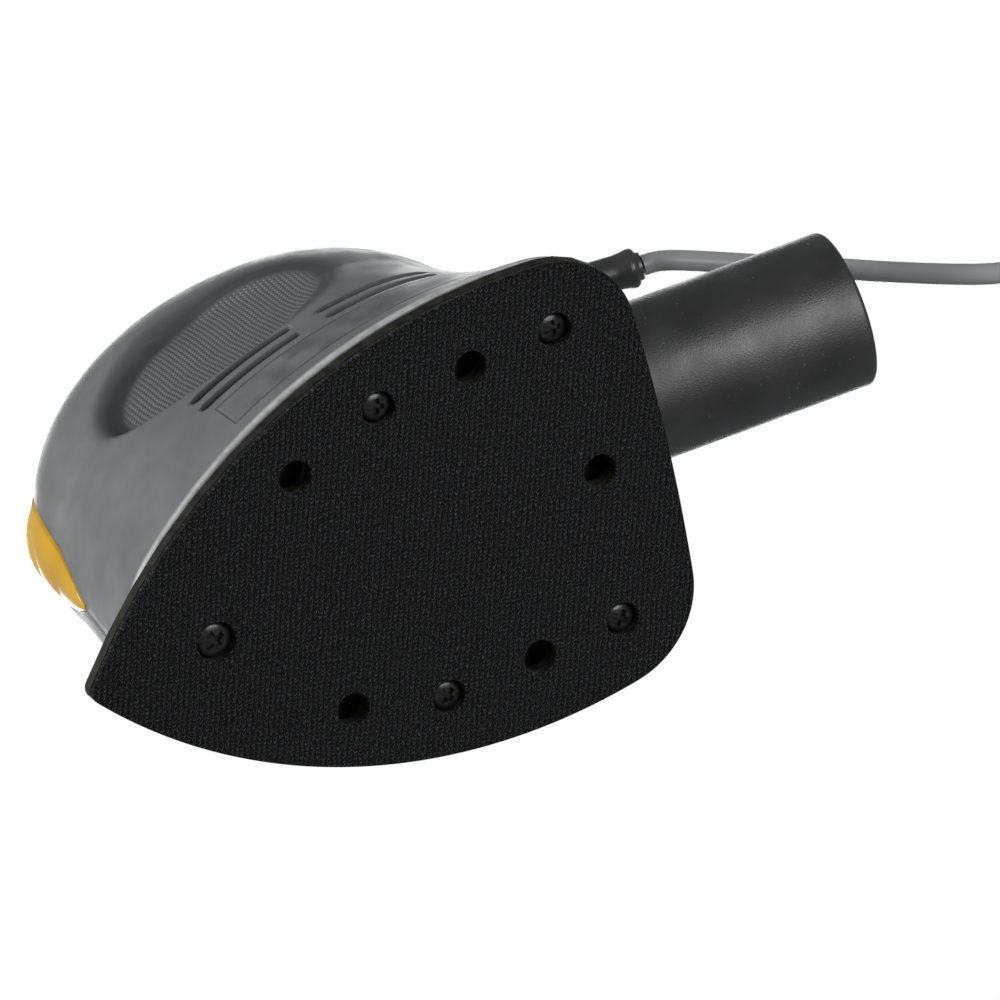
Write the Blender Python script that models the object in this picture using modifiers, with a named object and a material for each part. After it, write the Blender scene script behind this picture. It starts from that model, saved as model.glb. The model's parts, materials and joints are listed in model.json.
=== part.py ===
"""Orbital palm sander with an iron-shaped pad, built as separate pieces.

Frame: +X is the nose, +Y the tool's left, +Z up. The origin is the centre of the
sanding face, so the sander stands on z = 0. Lengths are in metres.
"""

import math

import bmesh
import bpy
from mathutils import Matrix, Vector

MM = 0.001
GAP = 0.3 * MM  # between pieces that touch

# Sole: one iron-shaped outline shared by the pad, the plate and the housing's rim
SOLE_LENGTH = 142 * MM
SOLE_TAIL_X = -70 * MM
SOLE_WIDTH = 106 * MM
SOLE_WIDEST_X = -34 * MM
SOLE_NOSE_RADIUS = 3 * MM
SOLE_CORNER_RADIUS = 21 * MM
SOLE_REAR_RADIUS = 500 * MM
PAD_THICKNESS = 1.3 * MM
PLATE_THICKNESS = 2.6 * MM
DUST_HOLE_RADIUS = 3.8 * MM
FRONT_HOLE_Y = SOLE_WIDTH / 2 - 24 * MM
REAR_HOLE_Y = SOLE_WIDTH / 2 - 16.8 * MM
DUST_HOLES = [
    (15.6 * MM, FRONT_HOLE_Y),
    (15.6 * MM, -FRONT_HOLE_Y),
    (-29.3 * MM, REAR_HOLE_Y),
    (-29.3 * MM, -REAR_HOLE_Y),
    (-53 * MM, 0),
]

# Pad screws and the rubber posts they hold
MID_POST_Y = SOLE_WIDTH / 2 - 16.9 * MM
REAR_POST_Y = SOLE_WIDTH / 2 - 16.7 * MM
POST_PLACES = {
    "front": (42 * MM, 0),
    "mid_left": (-6.6 * MM, MID_POST_Y),
    "mid_right": (-6.6 * MM, -MID_POST_Y),
    "rear_left": (-50.2 * MM, REAR_POST_Y),
    "rear_right": (-50.2 * MM, -REAR_POST_Y),
}
FRONT_HEAD_RADIUS = 4 * MM
SMALL_HEAD_RADIUS = 3.35 * MM
HEAD_CLEARANCE = 0.55 * MM
HEAD_FACE_Z = 1.2 * MM
HEAD_HEIGHT = 1.9 * MM
HEAD_EDGE = 0.7 * MM
PAD_SCREW_RADIUS = 1.75 * MM
PAD_SCREW_LENGTH = 8 * MM
POST_RADIUS = 5.5 * MM
POST_NIPPLE_RADIUS = 2.5 * MM
POST_NIPPLE_LENGTH = 4.3 * MM
BOSS_HEIGHT = 1.4 * MM

# Housing form: an egg-shaped shoulder section under a rounded dome
RIM_Z = 6.5 * MM
RIM_NOSE_RADIUS = 28 * MM
RIM_NOSE_X = 60 * MM
RIM_TAIL_X = -69 * MM
SHOULDER_Z = 52 * MM
SHOULDER_HALF_WIDTH = 44.5 * MM
SHOULDER_NOSE_X = 54 * MM
SHOULDER_TAIL_X = -62 * MM
EGG_WIDEST_X = -20 * MM
TOP_Z = 103.5 * MM
TOP_X = -2 * MM
DOME_WIDTH_POWER = 2.3
DOME_NOSE_POWER = 2.2
DOME_TAIL_POWER = 2.55
WALL = 2.5 * MM
HALF_COLUMNS = (3, 10, 5, 3)  # points on the nose, side, corner and rear arcs
LOWER_ROWS = 7
DOME_ROWS = 9

# Finger recess in each flank
RECESS_X = 5 * MM
RECESS_Z = 53 * MM
RECESS_HALF_LENGTH = 33 * MM
RECESS_HALF_HEIGHT = 20.5 * MM
RECESS_DEPTH = 4 * MM
RECESS_EDGE = 0.35  # share of the recess taken by its sloping wall

# Vent slots in each flank
VENT_LEVELS = (31 * MM, 26 * MM)
VENT_SPANS = ((-3.6 * MM, 23 * MM), (-37 * MM, -9.8 * MM))
VENT_HEIGHT = 2.8 * MM

# Motor and orbit drive, all on one vertical axis
MOTOR_X = -12 * MM
ORBIT = 0.75 * MM
SHAFT_RADIUS = 4 * MM
SHAFT_BOTTOM_Z = 14.8 * MM
SHAFT_TOP_Z = 94.2 * MM
BEARING_RADIUS = 11 * MM
BEARING_HEIGHT = 6.6 * MM
PAD_BEARING_Z = 5.7 * MM
HUB_RADIUS = 15.5 * MM
HUB_WALL_TOP = 0.4 * MM
ECCENTRIC_PIN_RADIUS = 3.7 * MM
ECCENTRIC_RADIUS = 11 * MM
ECCENTRIC_Z = (13.3 * MM, 19 * MM)
COUNTERWEIGHT_Z = (14 * MM, 18.6 * MM)
COUNTERWEIGHT_SPAN = math.radians(150)
DUST_FAN_RADIUS = SOLE_WIDTH / 2 - 25 * MM
COUNTERWEIGHT_RADIUS = DUST_FAN_RADIUS - 4 * MM
DUST_FAN_Z = (20 * MM, 28.5 * MM)
COOLING_FAN_RADIUS = 23.5 * MM
COOLING_FAN_Z = (39.2 * MM, 44 * MM)
FAN_HUB_RADIUS = 8 * MM
FAN_DISC = 1.3 * MM
BLADE_THICKNESS = 1.2 * MM
BLADES = 9
STATOR_Z = (48 * MM, 72 * MM)
STATOR_RADIUS = 27.1 * MM
STATOR_BORE = 15.5 * MM
WINDING_RADIUS = 24 * MM
WINDING_BORE = 13.4 * MM
WINDING_FLANGE = 2.7 * MM
CORE_RADIUS = 12.6 * MM
CORE_INSET = 1 * MM
COMMUTATOR_RADIUS = 9 * MM
COMMUTATOR_Z = (76 * MM, 87.3 * MM)
UPPER_BEARING_Z = 88.9 * MM

# Frames inside the housing
FRAME_GAP = 0.7 * MM  # to the housing's wall
BASE_FRAME_Z = (14 * MM, 16.5 * MM)
FAN_INLET_RADIUS = DUST_FAN_RADIUS - 1.5 * MM
SHROUD_RADIUS = DUST_FAN_RADIUS + 2.4 * MM
SHROUD_WALL = 2 * MM
SOCKET_RADIUS = 4.1 * MM
DECK_Z = (30.3 * MM, 32.8 * MM)
DECK_REAR_X = -52 * MM
DECK_HUB_WALL = 2.4 * MM
DECK_SEAT = 1.3 * MM  # the lower bearing stands this far into the deck
MOTOR_FRAME_WALL = 2.6 * MM
MOTOR_FRAME_TOP_Z = 79.9 * MM
MOTOR_FRAME_LEDGE = 2.2 * MM
MOTOR_FRAME_PLATE = 2.5 * MM
MOTOR_FRAME_HOLE = 11 * MM
MOTOR_FRAME_WINDOW = (12 * MM, 18 * MM, 7 * MM)
BRACKET_LEG_Y = 21.5 * MM
BRACKET_LEG_THICKNESS = 5 * MM
BRACKET_WIDTH = 10 * MM
BRACKET_WALL = 2.2 * MM
BRACKET_CAP = 1.5 * MM
BRUSH_BOX = (14 * MM, 8.6 * MM, 7.9 * MM)
BRUSH_SECTION = (5.6 * MM, 5 * MM)
BRUSH_LENGTH = 11.5 * MM
BRUSH_BOX_OFF = 0.8 * MM

# Dust port, pushed on a duct at the rear
PORT_END = (-127.7 * MM, 21.9 * MM)
PORT_PITCH = math.radians(7.5)
PORT_RADIUS = 17.8 * MM
PORT_WALL = 2.4 * MM
PORT_LENGTH = 74.3 * MM
PORT_ROUND = 1.6 * MM
PORT_FRAME_ROOM = 3 * MM
DUCT_WALL = 1.8 * MM
DUCT_SPAN = (-64 * MM, -43 * MM)
BEHIND_X = -90 * MM  # clear of the housing's tail

# Power switch on the nose
CAP_Z = (37 * MM, 93 * MM)
CAP_HALF_WIDTH = 9 * MM
CAP_PROUD = 2 * MM
CAP_DEPTH = 3.2 * MM
CAP_TIP = 0.1  # half-width of the tips as a share of the widest
CAP_CLEARANCE = 0.5 * MM
CAP_WINDOW_DEPTH = 9 * MM
CAP_PIVOT_Z = 65 * MM
CAP_ROWS = 15
CAP_COLUMNS = 7
SWITCH_BODY = (13 * MM, 17 * MM, 20 * MM)
SWITCH_PLUNGER = (4 * MM, 8 * MM, 4 * MM)
SWITCH_PLUNGER_GAP = 0.7 * MM
CAPACITOR_RADIUS = 4.6 * MM
CAPACITOR_LENGTH = 16 * MM
CAPACITOR_X = 30 * MM

# Housing screws, put in from the right: (x, z) of each
HOUSING_SCREWS = {
    "front_low": (34 * MM, 23.4 * MM),
    "front_middle": (38 * MM, 48 * MM),
    "front_top": (29.5 * MM, 85 * MM),
    "rear": (-50.5 * MM, 62 * MM),
}
HOUSING_SCREW_RADIUS = 1.4 * MM
HOUSING_SCREW_HEAD = 2.6 * MM
HOUSING_SCREW_BITE = 8 * MM
HOUSING_SCREW_RUN = 7 * MM
HOUSING_SCREW_HEAD_HEIGHT = 1.8 * MM
HOUSING_BOSS_RADIUS = 3.4 * MM

# Mains cord
CORD_DIAMETER = 4.8 * MM
CORD_Z = 83.5 * MM
BOOT_START_X = -49 * MM
BOOT_NECK_RADIUS = 4.9 * MM
BOOT_BASE_X = -59 * MM
BOOT_BASE_RADIUS = 6.2 * MM
BOOT_END = (-106 * MM, 77.4 * MM)
BOOT_END_RADIUS = 3.8 * MM
BOOT_DROOP = 2.6  # how late along its length the boot bends down
LEAD_END_X = -40.5 * MM
CLAMP_X = (-47 * MM, -42.5 * MM)
CLAMP_Z = (76.5 * MM, 86.7 * MM)
CLAMP_THICKNESS = 2.8 * MM
CLAMP_SCREW_Z = 79 * MM
CLAMP_SCREW_RADIUS = 1 * MM
CLAMP_SCREW_HEAD = 1.9 * MM
CLAMP_SCREW_BITE = 6 * MM
COIL_CENTRE = (-196.3 * MM, -34.85 * MM)
COIL_MID_RADIUS = 27.5 * MM
COIL_WIDTH = 20 * MM
COIL_ENTRY_Y = COIL_CENTRE[1] + CORD_DIAMETER / 2
COIL_ENTRY_X = COIL_CENTRE[0] + GAP + math.sqrt((COIL_MID_RADIUS + COIL_WIDTH / 2) ** 2 - COIL_ENTRY_Y**2)
CORD_LEAD = 4 * MM
CORD_ROUTE = [
    (-113.6 * MM, 0, 72 * MM),
    (-119.2 * MM, 0, 63.9 * MM),
    (-126.2 * MM, 0, 53.4 * MM),
    (-133.8 * MM, 0, 42.6 * MM),
    (-141.2 * MM, 0, 31.2 * MM),
    (-148 * MM, 0, 21.5 * MM),
    (-155.6 * MM, 0, 11.7 * MM),
    (-161.2 * MM, 0, 6.8 * MM),
    (-167.6 * MM, 0, 3.6 * MM),
    (-173 * MM, 0, 2.6 * MM),
    (COIL_ENTRY_X, 0, 2.5 * MM),
]
COIL_HEIGHT = 14.6 * MM
PLUG_AXIS_Z = 7.3 * MM
PLUG_NECK_LENGTH = 26 * MM
PLUG_NECK_RADIUS = 3.6 * MM
PLUG_NECK_AHEAD = 2 * MM
PLUG_COIL_GAP = 0.5 * MM
PLUG_BODY = (24 * MM, 30 * MM, 14 * MM)
PLUG_PIN_RADIUS = 2 * MM
PLUG_PIN_LENGTH = 19 * MM
PLUG_PIN_SPACING = 17.5 * MM

COLOURS = {
    "housing_grey": ((0.21, 0.22, 0.225), 0.45, 0.0),
    "cap_yellow": ((0.62, 0.36, 0.02), 0.2, 0.0),
    "pad_black": ((0.012, 0.013, 0.016), 0.95, 0.0),
    "plate_black": ((0.02, 0.02, 0.018), 0.5, 0.0),
    "port_black": ((0.02, 0.02, 0.022), 0.42, 0.0),
    "rubber_black": ((0.03, 0.03, 0.032), 0.6, 0.0),
    "cord_grey": ((0.055, 0.057, 0.06), 0.5, 0.0),
    "screw_black": ((0.02, 0.02, 0.02), 0.25, 0.8),
    "steel": ((0.55, 0.55, 0.56), 0.3, 1.0),
    "lamination": ((0.32, 0.32, 0.34), 0.45, 1.0),
    "copper": ((0.72, 0.33, 0.16), 0.35, 1.0),
    "brass": ((0.7, 0.52, 0.24), 0.35, 1.0),
    "carbon": ((0.03, 0.03, 0.03), 0.8, 0.0),
    "frame_plastic": ((0.05, 0.05, 0.055), 0.55, 0.0),
}


# Scene and materials


def clear_scene():
    for thing in list(bpy.data.objects):
        bpy.data.objects.remove(thing, do_unlink=True)
    for group in list(bpy.data.collections):
        bpy.data.collections.remove(group)


def make_collection(name):
    group = bpy.data.collections.new(name)
    bpy.context.scene.collection.children.link(group)
    return group


def make_material(name):
    colour, roughness, metallic = COLOURS[name]
    material = bpy.data.materials.new(name)
    material.use_nodes = True
    shader = material.node_tree.nodes["Principled BSDF"]
    shader.inputs["Base Color"].default_value = (*colour, 1)
    shader.inputs["Roughness"].default_value = roughness
    shader.inputs["Metallic"].default_value = metallic
    return material


clear_scene()
PARTS = make_collection("orbital_sander")
CUTTERS = make_collection("cutters")


def add_object(name, data, material=None):
    """A part when it has a material, a cutter when it has none."""
    thing = bpy.data.objects.new(name, data)
    if material:
        PARTS.objects.link(thing)
        own = make_material(material)
        own.name = f"{name}_{material}"
        data.materials.append(own)
    else:
        CUTTERS.objects.link(thing)
        thing.hide_render = True
        thing.display_type = "WIRE"
    return thing


# Shapes


def mesh_from(name, builder):
    """A mesh that builder fills, with its faces pointing out."""
    work = bmesh.new()
    builder(work)
    bmesh.ops.recalc_face_normals(work, faces=work.faces)
    mesh = bpy.data.meshes.new(name)
    work.to_mesh(mesh)
    work.free()
    return mesh


def block(name, low, high, material=None, bevel=0.0):
    """A box between two corners."""
    size = [b - a for a, b in zip(low, high)]
    centre = [(a + b) / 2 for a, b in zip(low, high)]
    place = Matrix.Translation(centre) @ Matrix.Diagonal((*size, 1))
    mesh = mesh_from(name, lambda work: bmesh.ops.create_cube(work, size=1, matrix=place))
    thing = add_object(name, mesh, material)
    if bevel:
        rounding = thing.modifiers.new("rounded_edges", "BEVEL")
        rounding.width = bevel
        rounding.segments = 2
    return thing


def rod(name, radius, start, end, material=None, sides=24):
    """A cylinder between two points."""
    start, end = Vector(start), Vector(end)
    along = end - start
    turn = along.to_track_quat("Z", "Y").to_matrix().to_4x4()
    place = Matrix.Translation((start + end) / 2) @ turn
    mesh = mesh_from(
        name,
        lambda work: bmesh.ops.create_cone(
            work,
            cap_ends=True,
            segments=sides,
            radius1=radius,
            radius2=radius,
            depth=along.length,
            matrix=place,
        ),
    )
    return add_object(name, mesh, material)


def turned(name, profile, material=None, closed=False, steps=32):
    """A profile of (radius, height) points turned about Z; its outer side runs down."""
    mesh = bpy.data.meshes.new(name)
    points = [(radius, 0, height) for radius, height in profile]
    edges = [(i, i + 1) for i in range(len(points) - 1)]
    if closed:
        edges.append((len(points) - 1, 0))
    mesh.from_pydata(points, edges, [])
    thing = add_object(name, mesh, material)
    screw = thing.modifiers.new("turn", "SCREW")
    screw.steps = steps
    screw.render_steps = steps
    screw.use_merge_vertices = True
    screw.merge_threshold = 0.00001
    screw.use_smooth_shade = False
    return thing


def ring(name, outer, inner, low, high, material=None, steps=32):
    """A plain ring between two heights."""
    profile = [(outer, high), (outer, low), (inner, low), (inner, high)]
    return turned(name, profile, material, closed=True, steps=steps)


def flat(name, outline, low, high, material=None):
    """An outline of (x, y) points as a plate between two heights."""
    curve = bpy.data.curves.new(name, "CURVE")
    curve.dimensions = "2D"
    curve.fill_mode = "BOTH"
    curve.extrude = (high - low) / 2
    spline = curve.splines.new("POLY")
    spline.points.add(len(outline) - 1)
    for point, (x, y) in zip(spline.points, outline):
        point.co = (x, y, 0, 1)
    spline.use_cyclic_u = True
    guide = bpy.data.objects.new(name + "_outline", curve)
    CUTTERS.objects.link(guide)
    bpy.context.view_layer.update()
    evaluated = guide.evaluated_get(bpy.context.evaluated_depsgraph_get())
    raw = bpy.data.meshes.new_from_object(evaluated)
    raised = Matrix.Translation((0, 0, (low + high) / 2))

    def weld(work):
        work.from_mesh(raw)
        bmesh.ops.remove_doubles(work, verts=work.verts, dist=0.00001)
        bmesh.ops.transform(work, matrix=raised, verts=work.verts)

    mesh = mesh_from(name, weld)
    bpy.data.meshes.remove(raw)
    bpy.data.objects.remove(guide)
    bpy.data.curves.remove(curve)
    return add_object(name, mesh, material)


def tube(name, points, radii, material, resolution=2):
    """A round tube through points, each with its own radius."""
    curve = bpy.data.curves.new(name, "CURVE")
    curve.dimensions = "3D"
    curve.bevel_depth = 1
    curve.bevel_resolution = resolution
    curve.use_fill_caps = True
    spline = curve.splines.new("POLY")
    spline.points.add(len(points) - 1)
    for point, place, radius in zip(spline.points, points, radii):
        point.co = (*place, 1)
        point.radius = radius
    return add_object(name, curve, material)


def combine(target, other, operation):
    """Cut, join or keep the common part of target with other, which becomes a cutter."""
    step = target.modifiers.new(f"{operation.lower()}_{other.name}", "BOOLEAN")
    step.operation = operation
    step.solver = "EXACT"
    step.object = other
    return target


def cut(target, *cutters):
    for other in cutters:
        combine(target, other, "DIFFERENCE")
    return target


def join(target, *others):
    for other in others:
        combine(target, other, "UNION")
    return target


def joined_blocks(name, placed_boxes):
    """Boxes that don't touch each other, as one cutter: (size, matrix) of each."""

    def build(work):
        for size, place in placed_boxes:
            scaled = place @ Matrix.Diagonal((*size, 1))
            bmesh.ops.create_cube(work, size=1, matrix=scaled)

    return add_object(name, mesh_from(name, build))


# The sole's outline


def turn_of(vector):
    return math.atan2(vector.y, vector.x)


def meeting_point(centre_a, radius_a, centre_b, radius_b):
    """Where two circles cross, on their left (larger y) side."""
    across = centre_b - centre_a
    along = (across.length_squared + radius_a**2 - radius_b**2) / (2 * across.length)
    up = math.sqrt(radius_a**2 - along**2)
    unit = across.normalized()
    return centre_a + unit * along + Vector((-unit.y, unit.x)) * up


def sole_arcs(nose_radius):
    """The left half of the outline, nose to tail, as (centre, radius, start, end) arcs."""
    half = SOLE_WIDTH / 2
    reach = SOLE_TAIL_X + SOLE_LENGTH - SOLE_NOSE_RADIUS - SOLE_WIDEST_X
    side_radius = (reach**2 + half**2 - SOLE_NOSE_RADIUS**2) / (2 * (half - SOLE_NOSE_RADIUS))
    side = Vector((SOLE_WIDEST_X, half - side_radius))
    nose_reach = math.sqrt((side_radius - nose_radius) ** 2 - (side_radius - half) ** 2)
    nose = Vector((SOLE_WIDEST_X + nose_reach, 0))
    rear = Vector((SOLE_REAR_RADIUS + SOLE_TAIL_X, 0))
    corner = meeting_point(
        side,
        side_radius - SOLE_CORNER_RADIUS,
        rear,
        SOLE_REAR_RADIUS - SOLE_CORNER_RADIUS,
    )
    nose_turn = turn_of(nose - side)
    corner_turn = turn_of(corner - side)
    rear_turn = turn_of(corner - rear)
    return [
        (nose, nose_radius, 0, nose_turn),
        (side, side_radius, nose_turn, corner_turn),
        (corner, SOLE_CORNER_RADIUS, corner_turn, rear_turn),
        (rear, SOLE_REAR_RADIUS, rear_turn, math.pi),
    ]


def half_outline(nose_radius, inset, counts):
    """Points of the left half, from the nose's tip to the tail's middle."""
    points = []
    for (centre, radius, start, end), count in zip(sole_arcs(nose_radius), counts):
        for step in range(count):
            turn = start + (end - start) * step / count
            points.append(centre + (radius - inset) * Vector((math.cos(turn), math.sin(turn))))
    points.append(Vector((SOLE_TAIL_X + inset, 0)))
    return points


def whole(half):
    """A closed outline from a left half whose ends lie on the centre line."""
    left = [(p[0], p[1]) for p in half]
    right = [(x, -y) for x, y in reversed(left[1:-1])]
    return left + right


# The housing's form


def round_off(share, power):
    """1 at share 0 falling to 0 at share 1, along a superellipse."""
    return max(1 - share**power, 0) ** (1 / power)


def form_section(z, inset=0.0):
    """The left half of the housing's section at height z, nose to tail, inset all round."""
    rim = half_outline(RIM_NOSE_RADIUS, inset, HALF_COLUMNS)
    rim_nose, rim_tail = RIM_NOSE_X - inset, RIM_TAIL_X + inset
    rim_half_width = SOLE_WIDTH / 2 - inset
    shoulder = (SHOULDER_NOSE_X - inset, SHOULDER_TAIL_X + inset, SHOULDER_HALF_WIDTH - inset)
    if z < SHOULDER_Z:
        share = (z - RIM_Z) / (SHOULDER_Z - RIM_Z)
        eased = share**0.8
        nose_x = rim_nose + (shoulder[0] - rim_nose) * share
        tail_x = rim_tail + (shoulder[1] - rim_tail) * eased
        half_width = rim_half_width + (shoulder[2] - rim_half_width) * eased
        egg_share = 1 - (1 - share) ** 2
        widest_x = EGG_WIDEST_X
    else:
        share = (z - SHOULDER_Z) / (TOP_Z - inset - SHOULDER_Z)
        nose_x = TOP_X + (shoulder[0] - TOP_X) * round_off(share, DOME_NOSE_POWER)
        tail_x = TOP_X + (shoulder[1] - TOP_X) * round_off(share, DOME_TAIL_POWER)
        half_width = shoulder[2] * round_off(share, DOME_WIDTH_POWER)
        egg_share = 1
        widest_x = min(EGG_WIDEST_X + (TOP_X - EGG_WIDEST_X) * share, nose_x)
        widest_x = max(widest_x, tail_x)
    run = [0.0]
    for before, after in zip(rim, rim[1:]):
        run.append(run[-1] + (after - before).length)
    section = []
    for point, length in zip(rim, run):
        turn = math.pi * length / run[-1]
        reach = nose_x - widest_x if turn < math.pi / 2 else widest_x - tail_x
        egg = Vector((widest_x + reach * math.cos(turn), half_width * math.sin(turn)))
        ahead = point.x - SOLE_WIDEST_X
        end_x, sole_end_x = (nose_x, rim[0].x) if ahead > 0 else (tail_x, rim[-1].x)
        stretch = (end_x - SOLE_WIDEST_X) / (sole_end_x - SOLE_WIDEST_X)
        sole = Vector((SOLE_WIDEST_X + ahead * stretch, point.y * half_width / rim_half_width))
        section.append(sole.lerp(egg, egg_share))
    return section


def recess_depth(x, z):
    """How far the finger recess pushes the flank in at (x, z)."""
    reach = math.hypot(
        (x - RECESS_X) / RECESS_HALF_LENGTH,
        (z - RECESS_Z) / RECESS_HALF_HEIGHT,
    )
    share = min(max((1 - reach) / RECESS_EDGE, 0), 1)
    return RECESS_DEPTH * share * share * (3 - 2 * share)


def section_heights(inset):
    """Heights of the form's rows, closer together towards the top."""
    lower = [RIM_Z + (SHOULDER_Z - RIM_Z) * i / LOWER_ROWS for i in range(LOWER_ROWS)]
    rise = TOP_Z - inset - SHOULDER_Z
    upper = [
        SHOULDER_Z + rise * math.sin(math.pi / 2 * i / (DOME_ROWS + 1))
        for i in range(DOME_ROWS + 1)
    ]
    return lower + upper


def half_rows(side, inset, edge):
    """Rows of points over one half of the form, whose ends lie at edge from the seam."""
    rows = []
    for z in section_heights(inset):
        row = []
        for point in form_section(z, inset):
            sunk = max(point.y - recess_depth(point.x, z), edge)
            row.append(Vector((point.x, side * sunk, z)))
        rows.append(row)
    return rows


def half_shell_mesh(name, side):
    """One clamshell half: outer and inner skins, closed at the seam and at the rim."""

    def build(work):
        skins = []
        for inset in (0.0, WALL):
            rows = half_rows(side, inset, GAP / 2)
            skins.append([[work.verts.new(p) for p in row] for row in rows])
        outer, inner = skins
        for rows in skins:
            for low, high in zip(rows, rows[1:]):
                for i in range(len(low) - 1):
                    work.faces.new((low[i], low[i + 1], high[i + 1], high[i]))
            work.faces.new(rows[-1])
        for i in range(len(outer[0]) - 1):
            work.faces.new((outer[0][i], outer[0][i + 1], inner[0][i + 1], inner[0][i]))
        for end in (0, -1):
            for i in range(len(outer) - 1):
                corners = (outer[i][end], outer[i + 1][end], inner[i + 1][end], inner[i][end])
                work.faces.new(corners)
        work.faces.new((outer[-1][0], outer[-1][-1], inner[-1][-1], inner[-1][0]))

    return mesh_from(name, build)


def form_solid(name, side, inset, edge):
    """The filled half of the form, to trim ribs and bosses to the wall."""

    def build(work):
        rows = [[work.verts.new(p) for p in row] for row in half_rows(side, inset, edge)]
        for low, high in zip(rows, rows[1:]):
            for i in range(len(low) - 1):
                work.faces.new((low[i], low[i + 1], high[i + 1], high[i]))
        work.faces.new(rows[-1])
        work.faces.new(rows[0])
        seam = [row[0] for row in rows] + [row[-1] for row in reversed(rows)]
        work.faces.new(seam)

    return add_object(name, mesh_from(name, build))


def nose_x_at(y, z):
    """Where the nose's surface lies in front of (y, z)."""
    section = form_section(z)
    for before, after in zip(section, section[1:]):
        if before.y <= abs(y) <= after.y:
            share = (abs(y) - before.y) / (after.y - before.y)
            return before.x + (after.x - before.x) * share
    return section[0].x


def port_axis_z(x):
    """Height of the dust port's axis at x."""
    return PORT_END[1] + (x - PORT_END[0]) * math.tan(PORT_PITCH)


def port_point(x):
    return Vector((x, 0, port_axis_z(x)))


PORT_DIRECTION = Vector((-math.cos(PORT_PITCH), 0, -math.sin(PORT_PITCH)))
PORT_MOUTH = port_point(PORT_END[0])
PORT_ROOT = PORT_MOUTH - PORT_DIRECTION * PORT_LENGTH


# Pad and plate


def sole_plate(name, low, high, material):
    outline = whole(half_outline(SOLE_NOSE_RADIUS, 0, (3, 12, 6, 3)))
    return flat(name, outline, low, high, material)


def head_radius(place):
    return FRONT_HEAD_RADIUS if place == "front" else SMALL_HEAD_RADIUS


def hole_group(name, places, low, high):
    """Upright cylinders as one cutter: (x, y, radius) of each."""
    sides = 16
    half_side = Matrix.Rotation(math.pi / sides, 4, "Z")

    def build(work):
        for x, y, radius in places:
            bmesh.ops.create_cone(
                work,
                cap_ends=True,
                segments=sides,
                radius1=radius,
                radius2=radius,
                depth=high - low,
                matrix=Matrix.Translation((x, y, (low + high) / 2)) @ half_side,
            )

    return add_object(name, mesh_from(name, build))


PLATE_Z = (PAD_THICKNESS + GAP, PAD_THICKNESS + GAP + PLATE_THICKNESS)
BOSS_TOP_Z = PLATE_Z[1] + BOSS_HEIGHT
HEAD_SEAT_Z = HEAD_FACE_Z + HEAD_HEIGHT + GAP
POST_BOTTOM_Z = BOSS_TOP_Z + GAP
POST_TOP_Z = BASE_FRAME_Z[0] - GAP
HUB_X = MOTOR_X + ORBIT
HUB_TOP_Z = PAD_BEARING_Z + BEARING_HEIGHT + HUB_WALL_TOP


def make_pad():
    dust = [(x, y, DUST_HOLE_RADIUS) for x, y in DUST_HOLES]
    heads = [(x, y, head_radius(n) + HEAD_CLEARANCE) for n, (x, y) in POST_PLACES.items()]
    shanks = [(x, y, PAD_SCREW_RADIUS + GAP) for x, y in POST_PLACES.values()]
    bosses = [(x, y, POST_RADIUS) for x, y in POST_PLACES.values()]
    pad = sole_plate("hook_pad", 0, PAD_THICKNESS, "pad_black")
    cut(pad, hole_group("pad_holes", dust + heads, -1 * MM, PLATE_Z[0] + 1 * MM))

    plate = sole_plate("backing_plate", *PLATE_Z, "plate_black")
    inside_plate = PLATE_Z[0] + PLATE_THICKNESS / 2
    hub = [(HUB_X, 0, HUB_RADIUS)]
    join(plate, hole_group("plate_bosses", bosses, inside_plate, BOSS_TOP_Z))
    join(plate, rod("plate_hub", HUB_RADIUS, (HUB_X, 0, inside_plate), (HUB_X, 0, HUB_TOP_Z)))
    seat = (HUB_X, 0, PAD_BEARING_Z - GAP)
    above = (HUB_X, 0, HUB_TOP_Z + 1 * MM)
    cut(plate, rod("bearing_seat", BEARING_RADIUS + GAP, seat, above, sides=28))
    cut(plate, hole_group("plate_dust_holes", dust, PLATE_Z[0] - 1 * MM, PLATE_Z[1] + 1 * MM))
    cut(plate, hole_group("head_recesses", heads, PLATE_Z[0] - 1 * MM, HEAD_SEAT_Z))
    cut(plate, hole_group("shank_holes", shanks, PLATE_Z[0], BOSS_TOP_Z + 1 * MM))

    for place, (x, y) in POST_PLACES.items():
        make_pad_screw(place, x, y)
        make_post(place, x, y)

    bearing = bearing_ring("pad_bearing", PAD_BEARING_Z, ECCENTRIC_PIN_RADIUS + GAP)
    bearing.location = (HUB_X, 0, 0)


def make_pad_screw(place, x, y):
    radius = head_radius(place)
    tip = HEAD_FACE_Z + HEAD_HEIGHT + PAD_SCREW_LENGTH
    profile = [
        (0, tip),
        (PAD_SCREW_RADIUS - HEAD_EDGE, tip),
        (PAD_SCREW_RADIUS, tip - HEAD_EDGE),
        (PAD_SCREW_RADIUS, HEAD_FACE_Z + HEAD_HEIGHT),
        (radius, HEAD_FACE_Z + HEAD_HEIGHT),
        (radius, HEAD_FACE_Z + HEAD_EDGE),
        (radius - HEAD_EDGE, HEAD_FACE_Z + HEAD_EDGE / 3),
        (0, HEAD_FACE_Z),
    ]
    screw = turned(f"pad_screw_{place}", profile, "screw_black", steps=16)
    screw.location = (x, y, 0)


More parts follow.
